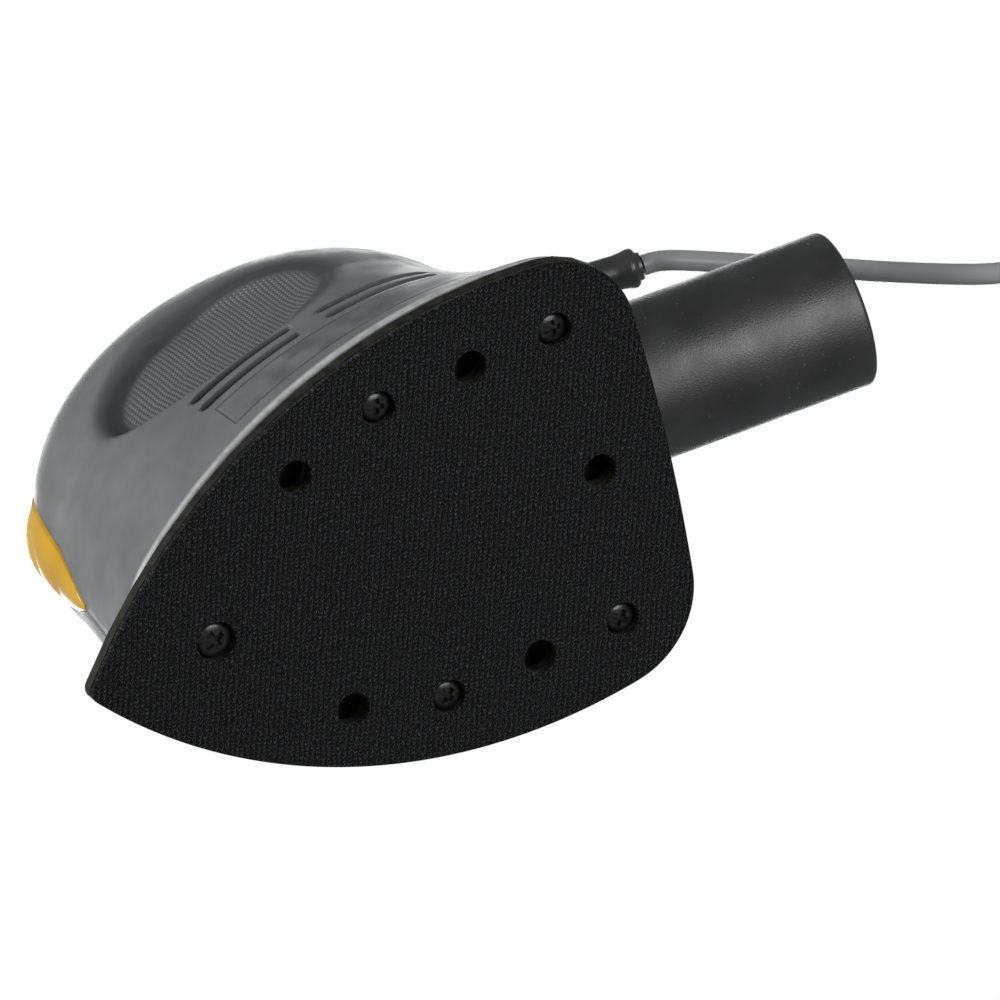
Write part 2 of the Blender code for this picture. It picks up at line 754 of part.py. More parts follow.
def make_post(place, x, y):
    bore = PAD_SCREW_RADIUS + GAP
    bore_top = HEAD_FACE_Z + HEAD_HEIGHT + PAD_SCREW_LENGTH + GAP
    nipple_top = POST_TOP_Z + POST_NIPPLE_LENGTH
    profile = [
        (0, nipple_top),
        (POST_NIPPLE_RADIUS, nipple_top),
        (POST_NIPPLE_RADIUS, POST_TOP_Z),
        (POST_RADIUS, POST_TOP_Z),
        (POST_RADIUS, POST_BOTTOM_Z),
        (bore, POST_BOTTOM_Z),
        (bore, bore_top),
        (0, bore_top),
    ]
    post = turned(f"flexible_post_{place}", profile, "rubber_black", steps=16)
    post.location = (x, y, 0)


# Rotor


def bearing_ring(name, low, bore):
    """A ball bearing's envelope, with the groove round its upper face where the balls run."""
    high = low + BEARING_HEIGHT
    groove = (bore + BEARING_RADIUS) / 2
    half = 1.4 * MM
    deep = 0.6 * MM
    profile = [
        (groove + half, high - deep),
        (groove + half, high),
        (BEARING_RADIUS, high),
        (BEARING_RADIUS, low),
        (bore, low),
        (bore, high),
        (groove - half, high),
        (groove - half, high - deep),
    ]
    return turned(name, profile, "steel", closed=True, steps=24)


def on_motor_axis(*things):
    for thing in things:
        thing.location.x = MOTOR_X
    return things


def fan(name, radius, levels, disc_on_top, material):
    low, high = levels
    bore = SHAFT_RADIUS + GAP
    disc = (high - FAN_DISC, high) if disc_on_top else (low, low + FAN_DISC)
    wheel = ring(name, FAN_HUB_RADIUS, bore, low, high, material, steps=24)
    rim = ring(f"{name}_disc", radius, bore + 1 * MM, *disc, steps=32)
    overlap = 0.3 * MM
    blade_low = low if disc_on_top else low + FAN_DISC - overlap
    blade_high = high - FAN_DISC + overlap if disc_on_top else high
    inner = FAN_HUB_RADIUS - 1 * MM
    outer = radius - 1 * MM
    size = (outer - inner, BLADE_THICKNESS, blade_high - blade_low)
    centre = Vector(((outer + inner) / 2, 0, (blade_low + blade_high) / 2))
    turns = [Matrix.Rotation(2 * math.pi * i / BLADES, 4, "Z") for i in range(BLADES)]
    blades = joined_blocks(f"{name}_blades", [(size, t @ Matrix.Translation(centre)) for t in turns])
    on_motor_axis(wheel, rim, blades)
    join(wheel, rim, blades)


def make_rotor():
    chamfer = 0.6 * MM
    shaft = turned(
        "armature_shaft",
        [
            (0, SHAFT_TOP_Z),
            (SHAFT_RADIUS - chamfer, SHAFT_TOP_Z),
            (SHAFT_RADIUS, SHAFT_TOP_Z - chamfer),
            (SHAFT_RADIUS, SHAFT_BOTTOM_Z + chamfer),
            (SHAFT_RADIUS - chamfer, SHAFT_BOTTOM_Z),
            (0, SHAFT_BOTTOM_Z),
        ],
        "steel",
        steps=20,
    )
    bore = SHAFT_RADIUS + GAP
    core_z = (STATOR_Z[0] + CORE_INSET, STATOR_Z[1] - CORE_INSET)
    core = ring("armature_core", CORE_RADIUS, bore, *core_z, "lamination", steps=28)
    commutator = ring("commutator", COMMUTATOR_RADIUS, bore, *COMMUTATOR_Z, "copper", steps=24)
    on_motor_axis(shaft, core, commutator)
    fan("dust_fan", DUST_FAN_RADIUS, DUST_FAN_Z, True, "frame_plastic")
    fan("cooling_fan", COOLING_FAN_RADIUS, COOLING_FAN_Z, False, "frame_plastic")

    socket_z = SHAFT_BOTTOM_Z - GAP
    hub_low, hub_high = ECCENTRIC_Z
    eccentric = rod(
        "eccentric",
        ECCENTRIC_RADIUS,
        (MOTOR_X, 0, hub_low),
        (MOTOR_X, 0, hub_high),
        "steel",
    )
    pin_low = (HUB_X, 0, PAD_BEARING_Z + GAP)
    pin_high = (HUB_X, 0, (hub_low + socket_z) / 2)
    join(eccentric, rod("eccentric_pin", ECCENTRIC_PIN_RADIUS, pin_low, pin_high))
    socket = rod("shaft_socket", bore, (MOTOR_X, 0, socket_z), (MOTOR_X, 0, hub_high + 1 * MM))
    cut(eccentric, socket)

    arc_steps = 16
    inner = ECCENTRIC_RADIUS + GAP
    turns = [
        math.pi + COUNTERWEIGHT_SPAN * (i / arc_steps - 0.5) for i in range(arc_steps + 1)
    ]
    outer_arc = [
        (MOTOR_X + COUNTERWEIGHT_RADIUS * math.cos(t), COUNTERWEIGHT_RADIUS * math.sin(t))
        for t in turns
    ]
    inner_arc = [(MOTOR_X + inner * math.cos(t), inner * math.sin(t)) for t in reversed(turns)]
    flat("counterweight", outer_arc + inner_arc, *COUNTERWEIGHT_Z, "steel")


# Fixed motor pieces


def make_motor():
    stator = ring("stator", STATOR_RADIUS, STATOR_BORE, *STATOR_Z, "lamination", steps=32)
    low, high = STATOR_Z
    sleeve = STATOR_BORE - GAP
    windings = turned(
        "field_windings",
        [
            (WINDING_RADIUS, high + GAP + WINDING_FLANGE),
            (WINDING_RADIUS, high + GAP),
            (sleeve, high + GAP),
            (sleeve, low - GAP),
            (WINDING_RADIUS, low - GAP),
            (WINDING_RADIUS, low - GAP - WINDING_FLANGE),
            (WINDING_BORE, low - GAP - WINDING_FLANGE),
            (WINDING_BORE, high + GAP + WINDING_FLANGE),
        ],
        "copper",
        closed=True,
        steps=28,
    )
    inner = STATOR_RADIUS + GAP
    outer = inner + MOTOR_FRAME_WALL
    ledge = inner - MOTOR_FRAME_LEDGE
    floor = DECK_Z[1] + GAP
    ceiling = MOTOR_FRAME_TOP_Z - MOTOR_FRAME_PLATE
    frame = turned(
        "motor_frame",
        [
            (outer, MOTOR_FRAME_TOP_Z),
            (outer, floor),
            (inner, floor),
            (inner, low - GAP - MOTOR_FRAME_LEDGE),
            (ledge, low - GAP - MOTOR_FRAME_LEDGE),
            (ledge, low - GAP),
            (inner, low - GAP),
            (inner, ceiling),
            (MOTOR_FRAME_HOLE, ceiling),
            (MOTOR_FRAME_HOLE, MOTOR_FRAME_TOP_Z),
        ],
        "frame_plastic",
        closed=True,
        steps=32,
    )
    on_motor_axis(stator, windings, frame)
    windows = []
    for turn in (45, 135, 225, 315):
        spin = Matrix.Rotation(math.radians(turn), 4, "Z")
        window_z = (floor + low) / 2
        place = Matrix.Translation((MOTOR_X, 0, window_z)) @ spin @ Matrix.Translation((outer, 0, 0))
        windows.append((MOTOR_FRAME_WINDOW, place))
    cut(frame, joined_blocks("frame_windows", windows))

    shelf = MOTOR_FRAME_TOP_Z + GAP
    cup_low = shelf + BRUSH_BOX[2] + GAP
    bearing_z = cup_low + GAP
    cup_top = bearing_z + BEARING_HEIGHT + GAP + BRACKET_CAP
    cup_radius = BEARING_RADIUS + GAP + BRACKET_WALL
    bracket = rod(
        "upper_bracket",
        cup_radius,
        (MOTOR_X, 0, cup_low),
        (MOTOR_X, 0, cup_top),
        "frame_plastic",
        sides=28,
    )
    half = BRACKET_WIDTH / 2
    leg_outer = BRACKET_LEG_Y + BRACKET_LEG_THICKNESS / 2
    leg_inner = BRACKET_LEG_Y - BRACKET_LEG_THICKNESS / 2
    arm_top = cup_low + 3 * MM
    arms = block(
        "bracket_arms",
        (MOTOR_X - half, -leg_outer, cup_low),
        (MOTOR_X + half, leg_outer, arm_top),
    )
    join(bracket, arms)
    for side in (1, -1):
        ys = sorted((side * leg_inner, side * leg_outer))
        leg = block(
            f"bracket_leg_{side}",
            (MOTOR_X - half + GAP, ys[0], shelf),
            (MOTOR_X + half - GAP, ys[1] - GAP / 2, arm_top - GAP),
        )
        join(bracket, leg)
    cup_bore = rod(
        "bracket_bore",
        BEARING_RADIUS + GAP,
        (MOTOR_X, 0, cup_low - 1 * MM),
        (MOTOR_X, 0, bearing_z + BEARING_HEIGHT + GAP),
        sides=28,
    )
    cut(bracket, cup_bore)
    upper = bearing_ring("upper_bearing", bearing_z, SHAFT_RADIUS + GAP)
    lower = bearing_ring("lower_bearing", DECK_Z[0] + DECK_SEAT, SHAFT_RADIUS + GAP)
    on_motor_axis(upper, lower)

    length, width, height = BRUSH_BOX
    middle = shelf + height / 2
    for name, way in (("front", 1), ("rear", -1)):
        near = COMMUTATOR_RADIUS + BRUSH_BOX_OFF
        xs = sorted((MOTOR_X + way * near, MOTOR_X + way * (near + length)))
        holder = block(
            f"brush_holder_{name}",
            (xs[0], -width / 2, shelf),
            (xs[1], width / 2, shelf + height),
            "brass",
        )
        across, tall = (size / 2 + GAP for size in BRUSH_SECTION)
        slot = block(
            f"brush_slot_{name}",
            (xs[0] - 1 * MM, -across, middle - tall),
            (xs[1] + 1 * MM, across, middle + tall),
        )
        cut(holder, slot)
        tip = COMMUTATOR_RADIUS + GAP
        xs = sorted((MOTOR_X + way * tip, MOTOR_X + way * (tip + BRUSH_LENGTH)))
        block(
            f"carbon_brush_{name}",
            (xs[0], -across + GAP, middle - tall + GAP),
            (xs[1], across - GAP, middle + tall - GAP),
            "carbon",
        )


# Frames between the motor and the housing


def inner_outline(z):
    """A plate's outline that fits inside the housing's wall at height z."""
    return whole(form_section(z, WALL + FRAME_GAP))


def make_frames():
    base = flat("base_frame", inner_outline(BASE_FRAME_Z[1]), *BASE_FRAME_Z, "frame_plastic")
    shroud_top = DECK_Z[0] - GAP
    shroud_low = (BASE_FRAME_Z[0] + BASE_FRAME_Z[1]) / 2
    shroud = ring(
        "fan_shroud",
        SHROUD_RADIUS + SHROUD_WALL,
        SHROUD_RADIUS,
        shroud_low,
        shroud_top,
        steps=32,
    )
    on_motor_axis(shroud)
    duct_way = port_point(DUCT_SPAN[1] + 8 * MM)
    duct_room = duct_radius() + FRAME_GAP
    cut(shroud, rod("duct_way", duct_room, port_point(BEHIND_X), duct_way))
    join(base, shroud)
    inlet_low, inlet_high = BASE_FRAME_Z[0] - 1 * MM, BASE_FRAME_Z[1] + 1 * MM
    sockets = [(x - ORBIT, y, SOCKET_RADIUS) for x, y in POST_PLACES.values()]
    inlet = [(MOTOR_X, 0, FAN_INLET_RADIUS)]
    cut(base, hole_group("post_sockets", sockets + inlet, inlet_low, inlet_high))
    port_way = PORT_ROOT - PORT_DIRECTION * PORT_FRAME_ROOM
    cut(base, rod("port_way", PORT_RADIUS + GAP, port_point(BEHIND_X), port_way, sides=32))

    deck = flat("motor_deck", inner_outline(DECK_Z[1]), *DECK_Z, "frame_plastic")
    hub_top = DECK_Z[0] + DECK_SEAT + BEARING_HEIGHT + 0.4 * MM
    hub_low = (DECK_Z[0] + DECK_Z[1]) / 2
    hub_radius = BEARING_RADIUS + GAP + DECK_HUB_WALL
    join(deck, rod("deck_hub", hub_radius, (MOTOR_X, 0, hub_low), (MOTOR_X, 0, hub_top)))
    seat = (MOTOR_X, 0, DECK_Z[0] + 1 * MM)
    above = (MOTOR_X, 0, hub_top + 1 * MM)
    cut(deck, rod("deck_seat", BEARING_RADIUS + GAP, seat, above, sides=28))
    below = (MOTOR_X, 0, DECK_Z[0] - 1 * MM)
    through = (MOTOR_X, 0, DECK_Z[1])
    cut(deck, rod("deck_hole", BEARING_RADIUS - 2.5 * MM, below, through))
    rear = block(
        "deck_rear",
        (-SOLE_LENGTH, -SOLE_WIDTH, DECK_Z[0] - 1 * MM),
        (DECK_REAR_X, SOLE_WIDTH, DECK_Z[1] + 1 * MM),
    )
    cut(deck, rear)
    cut(deck, rod("deck_duct_way", duct_room, port_point(BEHIND_X), duct_way))


# Dust port


def duct_radius():
    return PORT_RADIUS - PORT_WALL - GAP


def aim_at_port(thing, root):
    """Stand a piece turned about Z on root, with its top towards the port's mouth."""
    thing.rotation_mode = "QUATERNION"
    thing.rotation_quaternion = PORT_DIRECTION.to_track_quat("Z", "Y")
    thing.location = root


def make_port():
    bore = PORT_RADIUS - PORT_WALL
    rounding = [
        (
            PORT_RADIUS - PORT_ROUND * (1 - math.cos(turn)),
            PORT_LENGTH - PORT_ROUND * (1 - math.sin(turn)),
        )
        for turn in (math.radians(d) for d in (90, 60, 30, 0))
    ]
    profile = [*rounding, (PORT_RADIUS, 0), (bore, 0), (bore, PORT_LENGTH)]
    port = turned("dust_port", profile, "port_black", closed=True, steps=40)
    aim_at_port(port, PORT_ROOT)

    outer = duct_radius()
    root = port_point(DUCT_SPAN[1])
    length = (port_point(DUCT_SPAN[0]) - root).length
    duct = ring("dust_duct", outer, outer - DUCT_WALL, 0, length, "frame_plastic", steps=28)
    aim_at_port(duct, root)


# Power switch


def cap_half_width(z, extra=0.0):
    """Half-width of the almond-shaped switch cap at height z, widest just below its middle."""
    share = (z - CAP_Z[0]) / (CAP_Z[1] - CAP_Z[0])
    share = min(max(share, 0), 1)
    bulge = math.sin(math.pi * share**0.9) ** 0.75 if 0 < share < 1 else 0
    return CAP_HALF_WIDTH * max(bulge, CAP_TIP) + extra


def cap_solid(name, extra, proud, depth, material=None):
    """The cap's form: its front follows the nose and stands proud of it."""
    low, high = CAP_Z[0] - extra, CAP_Z[1] + extra

    def build(work):
        rows = []
        for i in range(CAP_ROWS + 1):
            z = low + (high - low) * i / CAP_ROWS
            half = cap_half_width(z, extra)
            lift = math.sin(math.pi * i / CAP_ROWS) ** 0.5
            front, back = [], []
            for j in range(CAP_COLUMNS):
                across = 2 * j / (CAP_COLUMNS - 1) - 1
                y = half * across
                skin = nose_x_at(y, z)
                front.append(work.verts.new((skin + proud * lift * (1 - 0.75 * across**2), y, z)))
                back.append(work.verts.new((nose_x_at(half, z) - depth, y, z)))
            rows.append(front + back[::-1])
        for lower, upper in zip(rows, rows[1:]):
            for j in range(len(lower)):
                k = (j + 1) % len(lower)
                work.faces.new((lower[j], lower[k], upper[k], upper[j]))
        work.faces.new(rows[0])
        work.faces.new(rows[-1])

    return add_object(name, mesh_from(name, build), material)


def make_switch():
    cap_solid("switch_cap", 0, CAP_PROUD, CAP_DEPTH, "cap_yellow")
    back_x = nose_x_at(cap_half_width(CAP_PIVOT_Z), CAP_PIVOT_Z) - CAP_DEPTH
    plunger_x = back_x - SWITCH_PLUNGER_GAP
    body_x = plunger_x - SWITCH_PLUNGER[0]
    depth, width, height = SWITCH_BODY
    body = block(
        "switch_module",
        (body_x - depth, -width / 2, CAP_PIVOT_Z - height / 2),
        (body_x, width / 2, CAP_PIVOT_Z + height / 2),
        "frame_plastic",
    )
    plunger = block(
        "switch_plunger",
        (body_x - 1 * MM, -SWITCH_PLUNGER[1] / 2, CAP_PIVOT_Z - SWITCH_PLUNGER[2] / 2),
        (plunger_x, SWITCH_PLUNGER[1] / 2, CAP_PIVOT_Z + SWITCH_PLUNGER[2] / 2),
    )
    join(body, plunger)
    middle_z = DECK_Z[1] + GAP + CAPACITOR_RADIUS
    rod(
        "capacitor",
        CAPACITOR_RADIUS,
        (CAPACITOR_X, -CAPACITOR_LENGTH / 2, middle_z),
        (CAPACITOR_X, CAPACITOR_LENGTH / 2, middle_z),
        "brass",
        sides=24,
    )


# Housing halves


def slot_cutter(name, span, z, side):
    """A vent slot with round ends, cut straight in from the flank."""
    half = VENT_HEIGHT / 2
    steps = 6
    outline = []
    for centre, start in ((span[1] - half, -90), (span[0] + half, 90)):
        for i in range(steps + 1):
            turn = math.radians(start + 180 * i / steps)
            outline.append((centre + half * math.cos(turn), half * math.sin(turn)))
    reach = SOLE_WIDTH / 2
    middle = reach * 0.8
    slot = flat(name, outline, -reach * 0.25, reach * 0.25)
    slot.rotation_euler = (math.pi / 2, 0, 0)
    slot.location = (0, side * middle, z)
    return slot


def wall_rib(half, name, rib, side):
    """Trim a rib to the housing's form and join it to one half."""
    combine(rib, form_solid(f"{name}_trim", side, WALL / 2, GAP / 2), "INTERSECT")
    join(half, rib)


def make_housing_half(name, side):
    half = add_object(name, half_shell_mesh(name, side), "housing_grey")
    label = "left" if side > 0 else "right"
    reach = SOLE_WIDTH * side

    for place, (x, z) in HOUSING_SCREWS.items():
        boss = rod(
            f"{label}_boss_{place}",
            HOUSING_BOSS_RADIUS,
            (x, 0, z),
            (x, reach, z),
            sides=20,
        )
        wall_rib(half, f"{label}_boss_{place}", boss, side)
    if side > 0:
        rest_y = CORD_DIAMETER / 2 + GAP
        saddle = block(
            "clamp_saddle",
            (CLAMP_X[0], rest_y, CLAMP_Z[0]),
            (CLAMP_X[1], reach, CLAMP_Z[1]),
        )
        wall_rib(half, "clamp_saddle", saddle, side)
        hole = (0, CLAMP_SCREW_BITE + rest_y + GAP, 0)
        middle_x = (CLAMP_X[0] + CLAMP_X[1]) / 2
        cut(
            half,
            rod(
                "clamp_screw_hole",
                CLAMP_SCREW_RADIUS + GAP,
                (middle_x, 0, CLAMP_SCREW_Z),
                (middle_x, hole[1], CLAMP_SCREW_Z),
                sides=16,
            ),
        )

    for group, span in enumerate(VENT_SPANS):
        for level, z in enumerate(VENT_LEVELS):
            cut(half, slot_cutter(f"{label}_vent_{group}_{level}", span, z, side))

    cut(half, cap_solid(f"{label}_cap_window", CAP_CLEARANCE, 8 * MM, CAP_WINDOW_DEPTH))
    port_way = PORT_ROOT - PORT_DIRECTION * GAP
    port_out = port_point(BEHIND_X)
    cut(half, rod(f"{label}_port_hole", PORT_RADIUS + GAP, port_out, port_way, sides=40))
    neck = BOOT_NECK_RADIUS + GAP
    neck_out = (BOOT_BASE_X - 8 * MM, 0, CORD_Z)
    cut(half, rod(f"{label}_boot_hole", neck, (BOOT_START_X + 1 * MM, 0, CORD_Z), neck_out))

    for place, (x, z) in HOUSING_SCREWS.items():
        if side > 0:
            start = (x, -1 * MM, z)
            end = (x, HOUSING_SCREW_BITE + GAP, z)
            cut(half, rod(f"left_hole_{place}", HOUSING_SCREW_RADIUS + GAP, start, end, sides=16))
        else:
            shank = rod(
                f"right_hole_{place}",
                HOUSING_SCREW_RADIUS + GAP,
                (x, 1 * MM, z),
                (x, reach, z),
                sides=16,
            )
            seat_y = -HOUSING_SCREW_RUN
            well = rod(
                f"right_well_{place}",
                HOUSING_SCREW_HEAD + GAP,
                (x, seat_y, z),
                (x, reach, z),
                sides=20,
            )
            cut(half, well, shank)
            make_housing_screw(place, x, z)


def make_housing_screw(place, x, z):
    tip = HOUSING_SCREW_BITE
    seat = -HOUSING_SCREW_RUN - GAP
    face = seat - HOUSING_SCREW_HEAD_HEIGHT
    chamfer = 0.5 * MM
    profile = [
        (0, tip),
        (HOUSING_SCREW_RADIUS - chamfer, tip),
        (HOUSING_SCREW_RADIUS, tip - chamfer),
        (HOUSING_SCREW_RADIUS, seat),
        (HOUSING_SCREW_HEAD, seat),
        (HOUSING_SCREW_HEAD, face + chamfer),
        (HOUSING_SCREW_HEAD - chamfer, face),
        (0, face),
    ]
    screw = turned(f"housing_screw_{place}", profile, "steel", steps=16)
    screw.rotation_euler = (-math.pi / 2, 0, 0)
    screw.location = (x, 0, z)


# Cord


def smooth_route(points, spacing):
    """Points at an even spacing along a smooth curve through the route's own points."""
    ends = [points[0] * 2 - points[1], *points, points[-1] * 2 - points[-2]]
    fine = []
    for a, b, c, d in zip(ends, ends[1:], ends[2:], ends[3:]):
        for i in range(24):
            t = i / 24
            fine.append(
                0.5
                * (
                    2 * b
                    + (c - a) * t
                    + (2 * a - 5 * b + 4 * c - d) * t**2
                    + (3 * b - a - 3 * c + d) * t**3
                )
            )
    fine.append(points[-1])
    length = sum((q - p).length for p, q in zip(fine, fine[1:]))
    count = max(round(length / spacing), 2)
    even, run, target = [fine[0]], 0.0, length / count
    for p, q in zip(fine, fine[1:]):
        step = (q - p).length
        while run + step >= target - 1e-9 and len(even) < count:
            even.append(p.lerp(q, (target - run) / step))
            target += length / count
        run += step
    return [*even, fine[-1]]


def boot_line():
    """The boot's centre line: level out of the housing, then drooping to its end."""
    steps = 12
    run = BOOT_BASE_X - BOOT_END[0]
    drop = CORD_Z - BOOT_END[1]
    points = [Vector((BOOT_START_X, 0, CORD_Z)), Vector((BOOT_BASE_X + 0.4 * MM, 0, CORD_Z))]
    for i in range(steps + 1):
        share = i / steps
        points.append(Vector((BOOT_BASE_X - run * share, 0, CORD_Z - drop * share**BOOT_DROOP)))
    return points


def make_cord():
    line = boot_line()
    outside = len(line) - 2
    radii = [BOOT_NECK_RADIUS, BOOT_NECK_RADIUS]
    for i in range(outside):
        share = i / (outside - 1)
        radii.append(BOOT_BASE_RADIUS + (BOOT_END_RADIUS - BOOT_BASE_RADIUS) * share)
    tube("cord_boot", line, radii, "rubber_black", resolution=3)

    radius = CORD_DIAMETER / 2
    lead = [Vector((BOOT_START_X + GAP, 0, CORD_Z)), Vector((LEAD_END_X, 0, CORD_Z))]
    tube("inner_lead", lead, [radius] * 2, "cord_grey", resolution=3)
    way = (line[-1] - line[-2]).normalized()
    lead_out = line[-1] + way * CORD_LEAD
    free_run = smooth_route([lead_out] + [Vector(p) for p in CORD_ROUTE], 1.6 * CORD_DIAMETER)
    route = [line[-1] + way * GAP] + free_run
    tube("power_cord", route, [radius] * len(route), "cord_grey", resolution=3)

    middle_x = (CLAMP_X[0] + CLAMP_X[1]) / 2
    near = -radius - GAP
    clamp = block(
        "cord_clamp",
        (CLAMP_X[0], near - CLAMP_THICKNESS, CLAMP_Z[0]),
        (CLAMP_X[1], near, CLAMP_Z[1]),
        "frame_plastic",
    )
    hole = rod(
        "clamp_hole",
        CLAMP_SCREW_RADIUS + GAP,
        (middle_x, near - CLAMP_THICKNESS - 1 * MM, CLAMP_SCREW_Z),
        (middle_x, near + 1 * MM, CLAMP_SCREW_Z),
        sides=16,
    )
    cut(clamp, hole)
    seat = -near + CLAMP_THICKNESS + GAP
    head = 1.4 * MM
    screw = turned(
        "clamp_screw",
        [
            (0, seat + head),
            (CLAMP_SCREW_HEAD, seat + head),
            (CLAMP_SCREW_HEAD, seat),
            (CLAMP_SCREW_RADIUS, seat),
            (CLAMP_SCREW_RADIUS, near - CLAMP_SCREW_BITE),
            (0, near - CLAMP_SCREW_BITE),
        ],
        "steel",
        steps=16,
    )
    screw.rotation_euler = (math.pi / 2, 0, 0)
    screw.location = (middle_x, 0, CLAMP_SCREW_Z)

    half = COIL_WIDTH / 2
    outer, inner = COIL_MID_RADIUS + half, COIL_MID_RADIUS - half
    soft = 3 * MM
    coil = turned(
        "cord_coil",
        [
            (outer - soft, COIL_HEIGHT),
            (outer, COIL_HEIGHT - soft),
            (outer, soft),
            (outer - soft, 0),
            (inner + soft, 0),
            (inner, soft),
            (inner, COIL_HEIGHT - soft),
            (inner + soft, COIL_HEIGHT),
        ],
        "cord_grey",
        closed=True,
        steps=32,
    )
    coil.location = (*COIL_CENTRE, 0)
    make_plug(outer)


def make_plug(coil_outer):
    """A plain two-pin plug beside the coil, pointing along -Y."""
    x = COIL_CENTRE[0] - coil_outer - PLUG_NECK_RADIUS - PLUG_COIL_GAP
    neck_y = COIL_CENTRE[1] + PLUG_NECK_AHEAD
    body_y = neck_y - PLUG_NECK_LENGTH
    face_y = body_y - PLUG_BODY[1]
    width, _, height = PLUG_BODY
    body = block(
        "plug_body",
        (x - width / 2, face_y, PLUG_AXIS_Z - height / 2),
        (x + width / 2, body_y, PLUG_AXIS_Z + height / 2),
        "rubber_black",
        bevel=3 * MM,
    )
    neck = rod(
        "plug_neck",
        PLUG_NECK_RADIUS,
        (x, body_y - 1 * MM, PLUG_AXIS_Z),
        (x, neck_y, PLUG_AXIS_Z),
        sides=20,
    )
    join(body, neck)
    for name, way in (("inner", 1), ("outer", -1)):
        pin_x = x + way * PLUG_PIN_SPACING / 2
        rod(
            f"plug_pin_{name}",
            PLUG_PIN_RADIUS,
            (pin_x, face_y - GAP, PLUG_AXIS_Z),
            (pin_x, face_y - PLUG_PIN_LENGTH, PLUG_AXIS_Z),
            "brass",
            sides=20,
        )


make_pad()
make_rotor()
make_motor()
make_frames()
make_port()
make_switch()
make_housing_half("left_housing", 1)
make_housing_half("right_housing", -1)
make_cord()
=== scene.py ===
# %% [markdown]
# # An orbital palm sander with an iron-shaped pad
# The CAD model gives every piece its place and its size. This lesson adds the looks: a moulded
# grey body with a finger recess, a woven hook pad, a yellow switch, and a cord with its spare
# length wound up. First the fixed frame is loaded.

import json
import math

import bmesh
import bpy
import numpy as np
from mathutils import Matrix, Quaternion, Vector


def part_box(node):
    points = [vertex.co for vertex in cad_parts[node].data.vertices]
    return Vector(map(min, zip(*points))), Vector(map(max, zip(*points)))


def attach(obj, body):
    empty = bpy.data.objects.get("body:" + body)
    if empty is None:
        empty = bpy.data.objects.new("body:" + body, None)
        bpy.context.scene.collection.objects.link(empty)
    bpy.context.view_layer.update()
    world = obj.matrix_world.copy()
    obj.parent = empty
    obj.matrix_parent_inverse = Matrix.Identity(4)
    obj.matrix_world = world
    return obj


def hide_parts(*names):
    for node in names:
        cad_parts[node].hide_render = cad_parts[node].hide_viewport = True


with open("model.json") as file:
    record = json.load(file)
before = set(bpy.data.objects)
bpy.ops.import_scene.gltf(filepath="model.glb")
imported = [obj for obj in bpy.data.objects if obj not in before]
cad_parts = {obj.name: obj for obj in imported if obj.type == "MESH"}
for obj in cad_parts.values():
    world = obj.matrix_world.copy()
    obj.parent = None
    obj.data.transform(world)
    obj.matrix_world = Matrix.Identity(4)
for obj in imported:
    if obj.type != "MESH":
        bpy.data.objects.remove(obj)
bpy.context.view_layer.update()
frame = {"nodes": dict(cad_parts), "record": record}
MM = 0.001

# %% [markdown]
# ## Camera
# The sander lies so that its sole is seen: the camera stands far below and to the front left,
# rolled on its side. A long lens keeps the perspective weak, as in a product picture.

# %% Aim the camera
EYE = Vector((675.6, 1006.0, -1769.2)) * MM
AIM = Vector((-26.2, 7.2, -6.4)) * MM
ROLL = math.radians(54.08)

camera = bpy.data.objects.new("camera", bpy.data.cameras.new("camera"))
bpy.context.scene.collection.objects.link(camera)
camera.rotation_mode = "QUATERNION"
camera.location = EYE
turn = Quaternion((0, 0, 1), -ROLL)
camera.rotation_quaternion = (AIM - EYE).to_track_quat("-Z", "Y") @ turn
camera.data.sensor_width = 36
camera.data.lens = 360
camera.data.clip_start = 0.05
camera.data.clip_end = 40
bpy.context.scene.camera = camera
print("camera", round((AIM - EYE).length, 3), "m away")

# %% [markdown]
# ## Cord
# A mains cord is a fixed length of something springy, so its route comes before its shape. It
# leaves the boot, droops to the floor, and the length that isn't seen lies in a neat coil: three
# layers of turns a cord's thickness apart, then over the top and down into the plug. The route is
# one smooth curve through a few chosen points and the coil's turns.

# %% Measures of the cord, the same as in the CAD model
CORD_DIAMETER = 4.8 * MM
CORD_Z = 83.5 * MM
BOOT_START_X = -49 * MM
BOOT_BASE_X = -59 * MM
BOOT_END = (-106 * MM, 77.4 * MM)
BOOT_DROOP = 2.6
GAP = 0.3 * MM
CORD_LEAD = 4 * MM
CORD_ROUTE = [
    (-113.6, 0, 72),
    (-119.2, 0, 63.9),
    (-126.2, 0, 53.4),
    (-133.8, 0, 42.6),
    (-141.2, 0, 31.2),
    (-148, 0, 21.5),
    (-155.6, 0, 11.7),
    (-161.2, 0, 6.8),
    (-167.6, 0, 3.6),
    (-173, 0, 2.6),
    (-180, 0, 2.45),
    (-188, 0, 2.45),
]
COIL_CENTRE = Vector((-196.3, -34.85, 0)) * MM
COIL_COLUMNS = (34.85 * MM, 20.15 * MM)
COIL_LAYERS = (2.45 * MM, 7.3 * MM, 12.15 * MM, 17.05 * MM)
PLUG_LINE_RADIUS = 41.6 * MM
PLUG_AXIS_Z = 7.3 * MM
PLUG_NECK_AHEAD = 2 * MM


def boot_centre(share):
    """A point on the boot's centre line: share 0 at its base, 1 at its end."""
    x = BOOT_BASE_X + (BOOT_END[0] - BOOT_BASE_X) * share
    return Vector((x, 0, CORD_Z - (CORD_Z - BOOT_END[1]) * max(share, 0) ** BOOT_DROOP))


# %% Wind the coil
def eased(share):
    share = min(max(share, 0), 1)
    return share * share * (3 - 2 * share)


